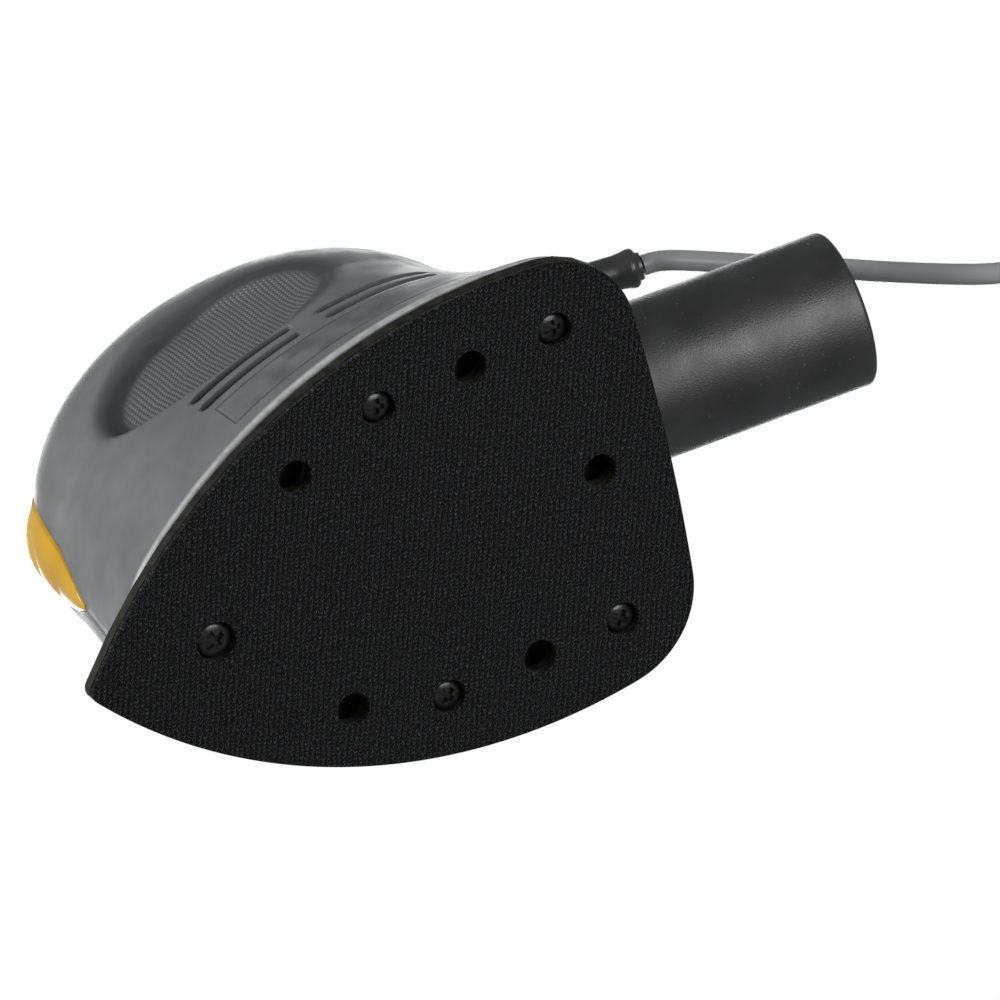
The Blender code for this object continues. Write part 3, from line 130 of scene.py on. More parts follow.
def coil_point(turns):
    """A point of the coil after that many turns, counted from where the cord comes in."""
    outer, inner = COIL_COLUMNS
    z0, z1, z2, z3 = COIL_LAYERS
    across = outer - inner
    if turns < 3:
        radius, z = outer - across * turns / 3, z0
    elif turns < 3.25:
        radius, z = inner, z0 + (z1 - z0) * eased((turns - 3) * 4)
    elif turns < 6.25:
        radius, z = inner + across * (turns - 3.25) / 3, z1
    elif turns < 6.5:
        radius, z = outer, z1 + (z2 - z1) * eased((turns - 6.25) * 4)
    elif turns < 9.5:
        radius, z = outer - across * (turns - 6.5) / 3, z2
    else:
        over = (turns - 9.5) / 0.75
        radius = inner + (PLUG_LINE_RADIUS - inner) * eased((over - 0.2) / 0.75)
        rise = z2 + (z3 - z2) * eased(over / 0.3)
        z = rise + (PLUG_AXIS_Z - z3) * eased((over - 0.66) / 0.34)
    angle = math.pi / 2 + 2 * math.pi * turns
    return COIL_CENTRE + Vector((radius * math.cos(angle), radius * math.sin(angle), z))


LAST_TURN = 10.25
POINTS_PER_TURN = 30
start = boot_centre(1)
way = (boot_centre(1) - boot_centre(0.93)).normalized()
cord_points = [start + way * GAP, start + way * CORD_LEAD]
cord_points += [Vector(p) * MM for p in CORD_ROUTE]
turn_count = round(LAST_TURN * POINTS_PER_TURN)
cord_points += [coil_point(i * LAST_TURN / turn_count) for i in range(turn_count + 1)]
print("coil of", LAST_TURN, "turns,", len(cord_points), "points")


# %% [markdown]
# The points are joined by a Catmull-Rom curve, which passes through each of them without corners,
# and the curve's bevel gives the round section.

# %% Make the cord
def smooth_line(points, steps):
    """Points along a smooth curve through the given ones, steps to each stretch."""
    ends = [points[0] * 2 - points[1], *points, points[-1] * 2 - points[-2]]
    line = []
    for a, b, c, d in zip(ends, ends[1:], ends[2:], ends[3:]):
        for i in range(steps):
            t = i / steps
            bend = 2 * a - 5 * b + 4 * c - d
            twist = 3 * b - a - 3 * c + d
            line.append(0.5 * (2 * b + (c - a) * t + bend * t**2 + twist * t**3))
    return [*line, points[-1]]


def tube(name, points, radii):
    """A round tube along points: one radius, or one for each point."""
    curve = bpy.data.curves.new(name, "CURVE")
    curve.dimensions = "3D"
    curve.bevel_depth = 1
    curve.bevel_resolution = 5
    curve.use_fill_caps = True
    spline = curve.splines.new("POLY")
    spline.points.add(len(points) - 1)
    radii = radii if isinstance(radii, list) else [radii] * len(points)
    for point, place, radius in zip(spline.points, points, radii):
        point.co = (*place, 1)
        point.radius = radius
    thing = bpy.data.objects.new(name, curve)
    bpy.context.scene.collection.objects.link(thing)
    return thing


cord_line = smooth_line(cord_points, 2)
mains_cord = tube("mains_cord", cord_line, CORD_DIAMETER / 2)

# %% [markdown]
# ## Studio
# A pale floor lies under the sander, but the camera looks up through it, so its underside is
# clear and it casts no shade. The sky gives soft light from all round, a wide lamp to the left
# shapes the body, and a small one picks out edges.


# %% Nodes in few words
def add_node(tree, kind, inputs=None, **settings):
    """A node with its settings and its inputs: numbers, colours, or other nodes' outputs."""
    made = tree.nodes.new(kind)
    for name, value in settings.items():
        setattr(made, name, value)
    for name, value in (inputs or {}).items():
        if isinstance(value, bpy.types.NodeSocket):
            tree.links.new(value, made.inputs[name])
        else:
            made.inputs[name].default_value = value
    return made


def calculate(tree, operation, *values):
    """One step of arithmetic."""
    inputs = dict(enumerate(values))
    return add_node(tree, "ShaderNodeMath", inputs, operation=operation).outputs[0]


# %% Floor
floor_mesh = bpy.data.meshes.new("floor")
half = 3
corners = [(-half, -half, 0), (half, -half, 0), (half, half, 0), (-half, half, 0)]
floor_mesh.from_pydata(corners, [], [(0, 1, 2, 3)])
floor = bpy.data.objects.new("floor", floor_mesh)
bpy.context.scene.collection.objects.link(floor)
floor_paint = bpy.data.materials.new("floor_paint")
floor_paint.use_nodes = True
tree = floor_paint.node_tree
matt = tree.nodes["Principled BSDF"]
matt.inputs["Base Color"].default_value = (0.5, 0.5, 0.5, 1)
matt.inputs["Emission Color"].default_value = (1, 1, 0.99, 1)
matt.inputs["Emission Strength"].default_value = 0.5
matt.inputs["Roughness"].default_value = 0.9
clear = add_node(tree, "ShaderNodeBsdfTransparent")
side = add_node(tree, "ShaderNodeNewGeometry").outputs["Backfacing"]
both = add_node(tree, "ShaderNodeMixShader", {0: side, 1: matt.outputs[0], 2: clear.outputs[0]})
tree.links.new(both.outputs[0], tree.nodes["Material Output"].inputs["Surface"])
floor_mesh.materials.append(floor_paint)
floor.visible_shadow = False
floor.visible_diffuse = False
floor.visible_glossy = False
floor.visible_transmission = False

# %% Sky and lamps
world = bpy.data.worlds.new("soft_sky")
bpy.context.scene.world = world
world.use_nodes = True
tree = world.node_tree
glow = tree.nodes["Background"]
glow.inputs["Color"].default_value = (0.95, 0.97, 1, 1)
glow.inputs["Strength"].default_value = 0.3
backdrop = add_node(tree, "ShaderNodeBackground", {"Color": (1, 1, 1, 1), "Strength": 1.0})
seen = add_node(tree, "ShaderNodeLightPath").outputs["Is Camera Ray"]
mixed = add_node(tree, "ShaderNodeMixShader", {0: seen, 1: glow.outputs[0], 2: backdrop.outputs[0]})
tree.links.new(mixed.outputs[0], tree.nodes["World Output"].inputs["Surface"])


def lamp(name, place, aim, size, power):
    """A square soft light."""
    light = bpy.data.lights.new(name, "AREA")
    light.size = size
    light.energy = power
    thing = bpy.data.objects.new(name, light)
    bpy.context.scene.collection.objects.link(thing)
    thing.location = place
    thing.rotation_mode = "QUATERNION"
    thing.rotation_quaternion = (Vector(aim) - Vector(place)).to_track_quat("-Z", "Y")
    return thing


lamp("key_lamp", (1.0, 0.34, 0.32), (0, 0, 0.04), 0.7, 19)
lamp("sole_lamp", (-0.35, 0.45, -0.85), (-0.05, 0, 0), 0.6, 10)
lamp("top_lamp", (-0.35, -0.5, 0.95), (-0.05, 0, 0.03), 0.8, 8)
bpy.context.scene.view_settings.view_transform = "Standard"
print("studio ready")

# %% [markdown]
# ## Finishes
# Every finish is made of nodes. They share a way of working: patches a few millimetres wide vary
# the colour, a fine grain roughens the surface as the mould left it, and the gloss changes a
# little from place to place. All of them are measured in the object's own space, so a grain of
# 0.3 mm stays 0.3 mm on every piece.


# %% The shared moulded finish
def object_space(tree):
    return add_node(tree, "ShaderNodeTexCoord").outputs["Object"]


def noise(tree, size, detail=3, where=None):
    """Cloudy noise whose lumps are about size across."""
    where = where or object_space(tree)
    inputs = {"Vector": where, "Scale": 1 / size, "Detail": detail}
    return add_node(tree, "ShaderNodeTexNoise", inputs).outputs["Fac"]


def between(tree, value, low, high, new_low=0.0, new_high=1.0):
    """Stretch value from low..high to new_low..new_high, and stop at the ends."""
    inputs = {"Value": value, "From Min": low, "From Max": high}
    inputs |= {"To Min": new_low, "To Max": new_high}
    return add_node(tree, "ShaderNodeMapRange", inputs).outputs["Result"]


def blend_colours(tree, share, first, second):
    """A colour between two, which are colours or other nodes' outputs."""
    mix = add_node(tree, "ShaderNodeMix", data_type="RGBA")
    for index, value in ((0, share), (6, first), (7, second)):
        if isinstance(value, bpy.types.NodeSocket):
            tree.links.new(value, mix.inputs[index])
        else:
            mix.inputs[index].default_value = value
    return mix.outputs[2]


def bump(tree, height, depth, normal=None):
    """Tilt the surface by a height from 0 to 1, which stands for depth in metres."""
    inputs = {"Height": height, "Strength": 1.0, "Distance": depth}
    if normal:
        inputs["Normal"] = normal
    return add_node(tree, "ShaderNodeBump", inputs).outputs["Normal"]


def finish_of(name, dark, light, patch, grain, depth, gloss, metallic=0.0):
    """A finish that wanders between two colours and two roughnesses, with a grain."""
    material = bpy.data.materials.new(name)
    material.use_nodes = True
    tree = material.node_tree
    shader = tree.nodes["Principled BSDF"]
    cloud = between(tree, noise(tree, patch), 0.35, 0.65)
    colour = blend_colours(tree, cloud, (*dark, 1), (*light, 1))
    rough = between(tree, noise(tree, patch * 0.6), 0.3, 0.7, *gloss)
    tilt = bump(tree, noise(tree, grain, 2), depth)
    tree.links.new(colour, shader.inputs["Base Color"])
    tree.links.new(rough, shader.inputs["Roughness"])
    tree.links.new(tilt, shader.inputs["Normal"])
    shader.inputs["Metallic"].default_value = metallic
    return material


def grey(value, blue=0.0):
    return (value, value * (1 + blue / 2), value * (1 + blue))


# %% [markdown]
# ## Body
# The body is two moulded halves that meet along the middle. Their form is described once, by
# sections: low ones follow the iron-shaped sole, high ones are egg-shaped, and a rounded dome
# closes the top. A dense grid over that form gives a smooth skin, and Solidify gives its wall.

# %% Sizes of the form, the same as in the CAD model
SOLE_LENGTH = 142 * MM
SOLE_TAIL_X = -70 * MM
SOLE_WIDTH = 106 * MM
SOLE_WIDEST_X = -34 * MM
SOLE_NOSE_RADIUS = 3 * MM
SOLE_CORNER_RADIUS = 21 * MM
SOLE_REAR_RADIUS = 500 * MM
RIM_Z = 6.5 * MM
RIM_NOSE_RADIUS = 28 * MM
RIM_NOSE_X = 60 * MM
RIM_TAIL_X = -69 * MM
SHOULDER_Z = 52 * MM
SHOULDER_HALF_WIDTH = 44.5 * MM
SHOULDER_NOSE_X = 54 * MM
SHOULDER_TAIL_X = -62 * MM
EGG_WIDEST_X = -20 * MM
TOP_Z = 103.5 * MM
TOP_X = -2 * MM
DOME_WIDTH_POWER = 2.3
DOME_NOSE_POWER = 2.2
DOME_TAIL_POWER = 2.55
WALL = 2.5 * MM


# %% The sole's outline, from arcs that meet smoothly
def turn_of(vector):
    return math.atan2(vector.y, vector.x)


def meeting_point(centre_a, radius_a, centre_b, radius_b):
    """Where two circles cross, on their left side."""
    across = centre_b - centre_a
    along = (across.length_squared + radius_a**2 - radius_b**2) / (2 * across.length)
    up = math.sqrt(radius_a**2 - along**2)
    unit = across.normalized()
    return centre_a + unit * along + Vector((-unit.y, unit.x)) * up


def sole_arcs(nose_radius):
    """The left half of the outline, nose to tail, as (centre, radius, start, end) arcs."""
    half = SOLE_WIDTH / 2
    reach = SOLE_TAIL_X + SOLE_LENGTH - SOLE_NOSE_RADIUS - SOLE_WIDEST_X
    side_radius = (reach**2 + half**2 - SOLE_NOSE_RADIUS**2) / (2 * (half - SOLE_NOSE_RADIUS))
    side = Vector((SOLE_WIDEST_X, half - side_radius))
    nose_reach = math.sqrt((side_radius - nose_radius) ** 2 - (side_radius - half) ** 2)
    nose = Vector((SOLE_WIDEST_X + nose_reach, 0))
    rear = Vector((SOLE_REAR_RADIUS + SOLE_TAIL_X, 0))
    corner = meeting_point(
        side, side_radius - SOLE_CORNER_RADIUS, rear, SOLE_REAR_RADIUS - SOLE_CORNER_RADIUS
    )
    nose_turn = turn_of(nose - side)
    corner_turn = turn_of(corner - side)
    rear_turn = turn_of(corner - rear)
    return [
        (nose, nose_radius, 0, nose_turn),
        (side, side_radius, nose_turn, corner_turn),
        (corner, SOLE_CORNER_RADIUS, corner_turn, rear_turn),
        (rear, SOLE_REAR_RADIUS, rear_turn, math.pi),
    ]


def half_outline(nose_radius, inset, counts):
    """Points of the left half, from the nose's tip to the tail's middle."""
    points = []
    for (centre, radius, start, end), count in zip(sole_arcs(nose_radius), counts):
        for step in range(count):
            turn = start + (end - start) * step / count
            points.append(centre + (radius - inset) * Vector((math.cos(turn), math.sin(turn))))
    points.append(Vector((SOLE_TAIL_X + inset, 0)))
    return points


# %% One section of the body
FINE_COLUMNS = (10, 60, 28, 16)


def round_off(share, power):
    return max(1 - share**power, 0) ** (1 / power)


def form_section(z, inset=0.0, counts=FINE_COLUMNS):
    """The left half of the body's section at height z, nose to tail, inset all round."""
    rim = half_outline(RIM_NOSE_RADIUS, inset, counts)
    rim_nose, rim_tail = RIM_NOSE_X - inset, RIM_TAIL_X + inset
    rim_half_width = SOLE_WIDTH / 2 - inset
    shoulder = (SHOULDER_NOSE_X - inset, SHOULDER_TAIL_X + inset, SHOULDER_HALF_WIDTH - inset)
    if z < SHOULDER_Z:
        share = (z - RIM_Z) / (SHOULDER_Z - RIM_Z)
        slower = share**0.8
        nose_x = rim_nose + (shoulder[0] - rim_nose) * share
        tail_x = rim_tail + (shoulder[1] - rim_tail) * slower
        half_width = rim_half_width + (shoulder[2] - rim_half_width) * slower
        egg_share = 1 - (1 - share) ** 2
        widest_x = EGG_WIDEST_X
    else:
        share = (z - SHOULDER_Z) / (TOP_Z - inset - SHOULDER_Z)
        nose_x = TOP_X + (shoulder[0] - TOP_X) * round_off(share, DOME_NOSE_POWER)
        tail_x = TOP_X + (shoulder[1] - TOP_X) * round_off(share, DOME_TAIL_POWER)
        half_width = shoulder[2] * round_off(share, DOME_WIDTH_POWER)
        egg_share = 1
        widest_x = min(EGG_WIDEST_X + (TOP_X - EGG_WIDEST_X) * share, nose_x)
        widest_x = max(widest_x, tail_x)
    run = [0.0]
    for before, after in zip(rim, rim[1:]):
        run.append(run[-1] + (after - before).length)
    section = []
    for point, length in zip(rim, run):
        turn = math.pi * length / run[-1]
        reach = nose_x - widest_x if turn < math.pi / 2 else widest_x - tail_x
        egg = Vector((widest_x + reach * math.cos(turn), half_width * math.sin(turn)))
        ahead = point.x - SOLE_WIDEST_X
        end_x, sole_end_x = (nose_x, rim[0].x) if ahead > 0 else (tail_x, rim[-1].x)
        stretch = (end_x - SOLE_WIDEST_X) / (sole_end_x - SOLE_WIDEST_X)
        sole = Vector((SOLE_WIDEST_X + ahead * stretch, point.y * half_width / rim_half_width))
        section.append(sole.lerp(egg, egg_share))
    return section


print("section at 30 mm:", len(form_section(30 * MM)), "points on each half")

# %% [markdown]
# A finger recess is pressed into each flank. Its front and upper walls are steep, and it runs out
# gently towards the rear, so the depth is a smooth step whose width depends on the side.

# %% Finger recess
RECESS_X = 5 * MM
RECESS_Z = 53 * MM
RECESS_HALF_LENGTH = 33 * MM
RECESS_HALF_HEIGHT = 20.5 * MM
RECESS_DEPTH = 5.2 * MM


def recess_depth(x, z):
    """How far the finger recess pushes the flank in at (x, z)."""
    along = (x - RECESS_X) / RECESS_HALF_LENGTH
    up = (z - RECESS_Z) / RECESS_HALF_HEIGHT
    reach = math.hypot(along, up)
    front = eased((along + 0.9) / 1.1)
    edge = 0.6 - 0.36 * front
    return RECESS_DEPTH * (0.35 + 0.65 * front) * eased((1 - reach) / edge)


# %% Skin of one half
LIP_ROWS = [(6.5, 1.7), (6.6, 0.9), (6.9, 0.35), (7.5, 0.1), (8.4, 0.0)]
BODY_ROWS = 40
DOME_ROWS = 44


def skin_rows():
    """(height, inset) of each row, from the turned-in lower lip to the crown."""
    rows = [(z * MM, inset * MM) for z, inset in LIP_ROWS]
    low = rows[-1][0]
    rows += [(low + (SHOULDER_Z - low) * i / BODY_ROWS, 0.0) for i in range(1, BODY_ROWS)]
    rise = TOP_Z - SHOULDER_Z
    steps = [i / DOME_ROWS for i in range(DOME_ROWS)] + [1 - 0.4 / DOME_ROWS, 1 - 0.12 / DOME_ROWS]
    rows += [(SHOULDER_Z + rise * math.sin(math.pi / 2 * step), 0.0) for step in steps]
    return rows


def mesh_piece(name, points, faces, smooth=True):
    """A mesh object from its points and faces, in the scene."""
    mesh = bpy.data.meshes.new(name)
    mesh.from_pydata(points, [], faces)
    mesh.update()
    thing = bpy.data.objects.new(name, mesh)
    bpy.context.scene.collection.objects.link(thing)
    if smooth:
        mesh.shade_smooth()
    return thing


def body_skin(name, side):
    """The outer skin of one half, an open sheet whose edges lie beside the seam."""
    rows = []
    for z, inset in skin_rows():
        row = []
        for point in form_section(z, inset):
            y = max(point.y - recess_depth(point.x, z), GAP / 2)
            row.append((point.x, side * y, z))
        rows.append(row)
    width = len(rows[0])
    points = [p for row in rows for p in row]
    faces = []
    for j in range(len(rows) - 1):
        for i in range(width - 1):
            a, b = j * width + i, (j + 1) * width + i
            face = (a, a + 1, b + 1, b)
            faces.append(face if side > 0 else face[::-1])
    crown = tuple(range(len(points) - width, len(points)))
    faces.append(crown if side > 0 else crown[::-1])
    skin = mesh_piece(name, points, faces)
    shell = skin.modifiers.new("wall", "SOLIDIFY")
    shell.thickness = WALL
    shell.offset = -1
    return skin


left_body = body_skin("left_body", 1)
right_body = body_skin("right_body", -1)
print("skin of each half:", len(left_body.data.polygons), "faces")

# %% [markdown]
# Openings are cut with Booleans: the vent slots, the switch's window, the round holes of the dust
# port and the cord boot, and the wells of the screws. Each tool passes right through the wall.

# %% Cutting tools
PORT_END = (-127.7 * MM, 21.9 * MM)
PORT_PITCH = math.radians(7.5)
PORT_RADIUS = 17.8 * MM
PORT_LENGTH = 74.3 * MM
VENT_LEVELS = (31 * MM, 26 * MM)
VENT_SPANS = ((-3.6 * MM, 23 * MM), (-37 * MM, -9.8 * MM))
VENT_HEIGHT = 2.8 * MM
SCREW_WELLS = ((34, 23.4), (38, 48), (29.5, 85), (-50.5, 62))
PORT_WAY = Vector((-math.cos(PORT_PITCH), 0, -math.sin(PORT_PITCH)))
PORT_MOUTH = Vector((PORT_END[0], 0, PORT_END[1]))

tools = bpy.data.collections.new("cutting_tools")
bpy.context.scene.collection.children.link(tools)
tools.hide_render = True


def put_away(thing):
    """Move a cutting tool out of sight."""
    for group in list(thing.users_collection):
        group.objects.unlink(thing)
    tools.objects.link(thing)
    thing.hide_render = True
    thing.display_type = "WIRE"
    return thing


def cylinder(name, radius, start, end, sides=64):
    """A plain round tool between two points."""
    start, end = Vector(start), Vector(end)
    along = end - start
    turn = along.to_track_quat("Z", "Y").to_matrix().to_4x4()
    work = bmesh.new()
    place = Matrix.Translation((start + end) / 2) @ turn
    sizes = {"radius1": radius, "radius2": radius, "depth": along.length}
    bmesh.ops.create_cone(work, cap_ends=True, segments=sides, matrix=place, **sizes)
    mesh = bpy.data.meshes.new(name)
    work.to_mesh(mesh)
    work.free()
    thing = bpy.data.objects.new(name, mesh)
    bpy.context.scene.collection.objects.link(thing)
    return put_away(thing)


def slot_tool(name, span, z, side):
    """A flat bar with round ends that enters a flank."""
    half = VENT_HEIGHT / 2
    ring = []
    for centre, start in ((span[1] - half, -90), (span[0] + half, 90)):
        for i in range(13):
            turn = math.radians(start + 15 * i)
            ring.append((centre + half * math.cos(turn), z + half * math.sin(turn)))
    near, far = side * 28 * MM, side * 60 * MM
    points = [(x, near, h) for x, h in ring] + [(x, far, h) for x, h in ring]
    count = len(ring)
    faces = [tuple(range(count)), tuple(range(2 * count - 1, count - 1, -1))]
    faces += [(i, i + count, (i + 1) % count + count, (i + 1) % count) for i in range(count)]
    if side < 0:
        faces = [face[::-1] for face in faces]
    return put_away(mesh_piece(name, points, faces, smooth=False))


def cut(thing, tool, crossing=False):
    """Cut thing with tool; crossing says that the tool's own parts pass through each other."""
    step = thing.modifiers.new(f"cut_{tool.name}", "BOOLEAN")
    step.use_self = crossing
    step.operation = "DIFFERENCE"
    step.solver = "EXACT"
    step.object = tool


# %% [markdown]
# ## Switch
# The yellow switch cap is an almond that stands proud of the nose, from low on the front up to the
# dome. Thumbs push it at either end, so its face has an upper facet and a lower one that meet in a
# raised wedge. Its outline is cut from the body with a small gap all round.

# %% Cap form
CAP_Z = (37 * MM, 93 * MM)
CAP_HALF_WIDTH = 9.4 * MM
CAP_PROUD = 2 * MM
CAP_DEPTH = 3.2 * MM
CAP_TIP = 0.1
CAP_CLEARANCE = 0.45 * MM
CAP_KINK = 0.6


def nose_x_at(section, y):
    for before, after in zip(section, section[1:]):
        if before.y <= abs(y) <= after.y:
            share = (abs(y) - before.y) / max(after.y - before.y, 1e-9)
            return before.x + (after.x - before.x) * share
    return section[0].x


def cap_half_width(z, extra=0.0):
    share = min(max((z - CAP_Z[0]) / (CAP_Z[1] - CAP_Z[0]), 0), 1)
    bulge = math.sin(math.pi * share**1.12) ** 0.75 if 0 < share < 1 else 0
    return CAP_HALF_WIDTH * max(bulge, CAP_TIP) + extra


def cap_lift(up, across, proud):
    """How far the cap stands off the nose: two facets that meet in a wedge."""
    base = math.sin(math.pi * min(max(up, 0), 1)) ** 0.5
    wedge = max(0, 1 - abs(up - CAP_KINK - 0.08 * across) / 0.13) * (1 - across**2) * 0.5
    dish = 0.35 * math.exp(-((up - 0.8) ** 2) / 0.01) * (1 - across**2)
    return proud * base * (1 - 0.8 * abs(across) ** 2.2 + wedge - dish)


def cap_form(name, extra, proud, depth, rows=56, columns=33):
    low, high = CAP_Z[0] - extra, CAP_Z[1] + extra
    points = []
    for i in range(rows + 1):
        z = low + (high - low) * i / rows
        section = form_section(z)
        half = cap_half_width(z, extra)
        back_x = nose_x_at(section, half) - depth
        front = []
        for j in range(columns):
            across = 2 * j / (columns - 1) - 1
            y = half * across
            lift = cap_lift(i / rows, across, proud)
            front.append((nose_x_at(section, y) + lift, y, z))
        points += front + [(back_x, p[1], z) for p in reversed(front)]
    width = 2 * columns
    faces = [tuple(range(width))[::-1], tuple(range(rows * width, (rows + 1) * width))]
    for i in range(rows):
        for j in range(width):
            a, b = i * width + j, i * width + (j + 1) % width
            faces.append((a, b, b + width, a + width))
    return mesh_piece(name, points, faces)


switch_face = cap_form("switch_face", 0, CAP_PROUD, CAP_DEPTH)
switch_face.data.set_sharp_from_angle(angle=math.radians(60))
window = put_away(cap_form("switch_window", CAP_CLEARANCE, 8 * MM, 9 * MM, 56, 13))
print("switch cap", [round(v / MM, 1) for v in switch_face.dimensions], "mm")

# %% Cut the openings
port_hole = cylinder("port_hole", PORT_RADIUS + GAP, PORT_MOUTH, PORT_MOUTH - PORT_WAY * 0.075)
boot_hole = cylinder("boot_hole", 5.2 * MM, (-48 * MM, 0, CORD_Z), (-70 * MM, 0, CORD_Z))
for thing, side, label in ((left_body, 1, "left"), (right_body, -1, "right")):
    for group, span in enumerate(VENT_SPANS):
        for level, z in enumerate(VENT_LEVELS):
            cut(thing, slot_tool(f"{label}_vent_{group}_{level}", span, z, side))
    for tool in (window, port_hole, boot_hole):
        cut(thing, tool)
for i, (x, z) in enumerate(SCREW_WELLS):
    well_start = (x * MM, -8 * MM, z * MM)
    well_end = (x * MM, -60 * MM, z * MM)
    cut(right_body, cylinder(f"screw_well_{i}", 2.9 * MM, well_start, well_end, 40))
print("body halves cut with", len(left_body.modifiers) + len(right_body.modifiers) - 2, "tools")

# %% [markdown]
# The body's plastic is a cool mid grey with faint streaks from the mould. Two more features are
# too fine for the mesh and are worked in as bump, from the object's own coordinates: the fine
# chequer on the recess's floor, and the hairline round the lower panel. The recess's walls are
# darkened as painted shade, and its floor is painted a darker grey.


# %% Body plastic
CHEQUER_PITCH = 1.05 * MM


def housing_plastic():
    material = finish_of(
        "housing_plastic", grey(0.085, 0.06), grey(0.105, 0.06), 11 * MM, 0.5 * MM, 0.025 * MM, (0.36, 0.5)
    )
    tree = material.node_tree
    shader = tree.nodes["Principled BSDF"]
    where = object_space(tree)
    axes = add_node(tree, "ShaderNodeSeparateXYZ", {0: where}).outputs
    along = calculate(tree, "SUBTRACT", axes[0], RECESS_X)
    along = calculate(tree, "DIVIDE", along, RECESS_HALF_LENGTH)
    up = calculate(tree, "SUBTRACT", axes[2], RECESS_Z)
    up = calculate(tree, "DIVIDE", up, RECESS_HALF_HEIGHT)
    square = calculate(tree, "ADD", calculate(tree, "MULTIPLY", along, along), calculate(tree, "MULTIPLY", up, up))
    reach = calculate(tree, "SQRT", square)
    flank = between(tree, calculate(tree, "ABSOLUTE", axes[1]), 15 * MM, 20 * MM)
    inside = calculate(tree, "MULTIPLY", between(tree, reach, 1.0, 0.86), flank)
    floor_part = calculate(tree, "MULTIPLY", between(tree, reach, 0.78, 0.7), flank)

    lines = []
    for axis in (0, 2):
        wave = calculate(tree, "SINE", calculate(tree, "MULTIPLY", axes[axis], 2 * math.pi / CHEQUER_PITCH))
        lines.append(between(tree, wave, -0.8, 0.6))
    chequer = calculate(tree, "MULTIPLY", lines[0], lines[1])
    chequer = calculate(tree, "MULTIPLY", chequer, floor_part)

    off_x = calculate(tree, "ABSOLUTE", calculate(tree, "SUBTRACT", axes[0], -12 * MM))
    off_z = calculate(tree, "ABSOLUTE", calculate(tree, "SUBTRACT", axes[2], 17 * MM))
    past_x = calculate(tree, "SUBTRACT", off_x, 33 * MM)
    past_z = calculate(tree, "SUBTRACT", off_z, 5 * MM)
    outline = calculate(tree, "ABSOLUTE", calculate(tree, "MAXIMUM", past_x, past_z))
    hairline = calculate(tree, "MULTIPLY", between(tree, outline, 0.35 * MM, 0.1 * MM), flank)
    panel = calculate(tree, "MULTIPLY", between(tree, calculate(tree, "MAXIMUM", past_x, past_z), 0.2 * MM, -0.4 * MM), flank)

    old_tilt = shader.inputs["Normal"].links[0].from_socket
    tilt = bump(tree, chequer, 0.25 * MM, old_tilt)
    tilt = bump(tree, calculate(tree, "SUBTRACT", panel, hairline), 0.22 * MM, tilt)
    tree.links.new(tilt, shader.inputs["Normal"])
    old_colour = shader.inputs["Base Color"].links[0].from_socket
    # Painted shade: the recess's walls are darkened to a near-black blue-grey, and its floor is painted a darker grey.
    wall = calculate(tree, "SUBTRACT", inside, floor_part)
    colour = blend_colours(tree, calculate(tree, "MULTIPLY", wall, 0.85), old_colour, (*grey(0.018, 0.2), 1))
    colour = blend_colours(tree, calculate(tree, "MULTIPLY", floor_part, 0.6), colour, (*grey(0.05, 0.1), 1))
    colour = blend_colours(tree, calculate(tree, "MULTIPLY", chequer, 0.35), colour, (*grey(0.14, 0.05), 1))
    smears = between(tree, noise(tree, 7 * MM, 4), 0.42, 0.6)
    smears = calculate(tree, "MULTIPLY", smears, calculate(tree, "MULTIPLY", panel, 0.6))
    colour = blend_colours(tree, smears, colour, (*grey(0.04, 0.1), 1))
    colour = blend_colours(tree, calculate(tree, "MULTIPLY", hairline, 0.7), colour, (*grey(0.03), 1))
    # Painted highlight: below 8.6 mm the lower lip is painted a much lighter grey in noisy patches, standing for the
    # light that the turned-in lip catches from below.
    lip_highlight = between(tree, noise(tree, 2 * MM), 0.25, 0.6, 0.5, 1.0)
    lip_highlight = calculate(tree, "MULTIPLY", lip_highlight, between(tree, axes[2], 8.6 * MM, 7.6 * MM))
    colour = blend_colours(tree, lip_highlight, colour, (*grey(0.34), 1))
    tree.links.new(colour, shader.inputs["Base Color"])
    return material


def dress(thing, material, body, slot, *nodes):
    """Give a piece its finish and its body, and hide the CAD nodes that it stands for; slot is not used."""
    thing.data.materials.clear()
    thing.data.materials.append(material)
    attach(thing, body)
    if nodes:
        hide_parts(*nodes)


body_grey = housing_plastic()
dress(left_body, body_grey, "housing", "housing_grey", "left_housing")
dress(right_body, body_grey, "housing", "housing_grey", "right_housing")
cap_gloss = finish_of(
    "switch_yellow", (0.36, 0.195, 0.003), (0.43, 0.24, 0.006), 12 * MM, 1.2 * MM, 0.01 * MM, (0.16, 0.24)
)
cap_gloss.node_tree.nodes["Principled BSDF"].inputs["Coat Weight"].default_value = 0.3
dress(switch_face, cap_gloss, "switch", "cap_yellow", "switch_cap")

# %% [markdown]
# ## Pad
# The sole is faced with hook fabric: a knit of stiff loops in slanting columns. A weave that fine
# is bump and colour on a flat sheet, but its edge needs real fibres, because a fabric's cut edge
# is what tells it from rubber. The sheet is a filled curve with one hole for each dust port and
# each screw.

# %% Pad sheet
PAD_THICKNESS = 1.3 * MM
PAD_EDGE = 0.15 * MM
DUST_HOLES = [(15.6, 29), (15.6, -29), (-29.3, 36.2), (-29.3, -36.2), (-53, 0)]
PAD_SCREWS = {
    "front": (42, 0, 4.0),
    "mid_left": (-6.6, 36.1, 3.35),
    "mid_right": (-6.6, -36.1, 3.35),
    "rear_left": (-50.2, 36.3, 3.35),
    "rear_right": (-50.2, -36.3, 3.35),
}
HEAD_ROOM = 0.55


def closed_outline(half):
    left = [(p[0], p[1]) for p in half]
    return left + [(x, -y) for x, y in reversed(left[1:-1])]


def circle(x, y, radius, count=48):
    turns = [2 * math.pi * i / count for i in range(count)]
    return [(x + radius * math.cos(t), y + radius * math.sin(t)) for t in turns]


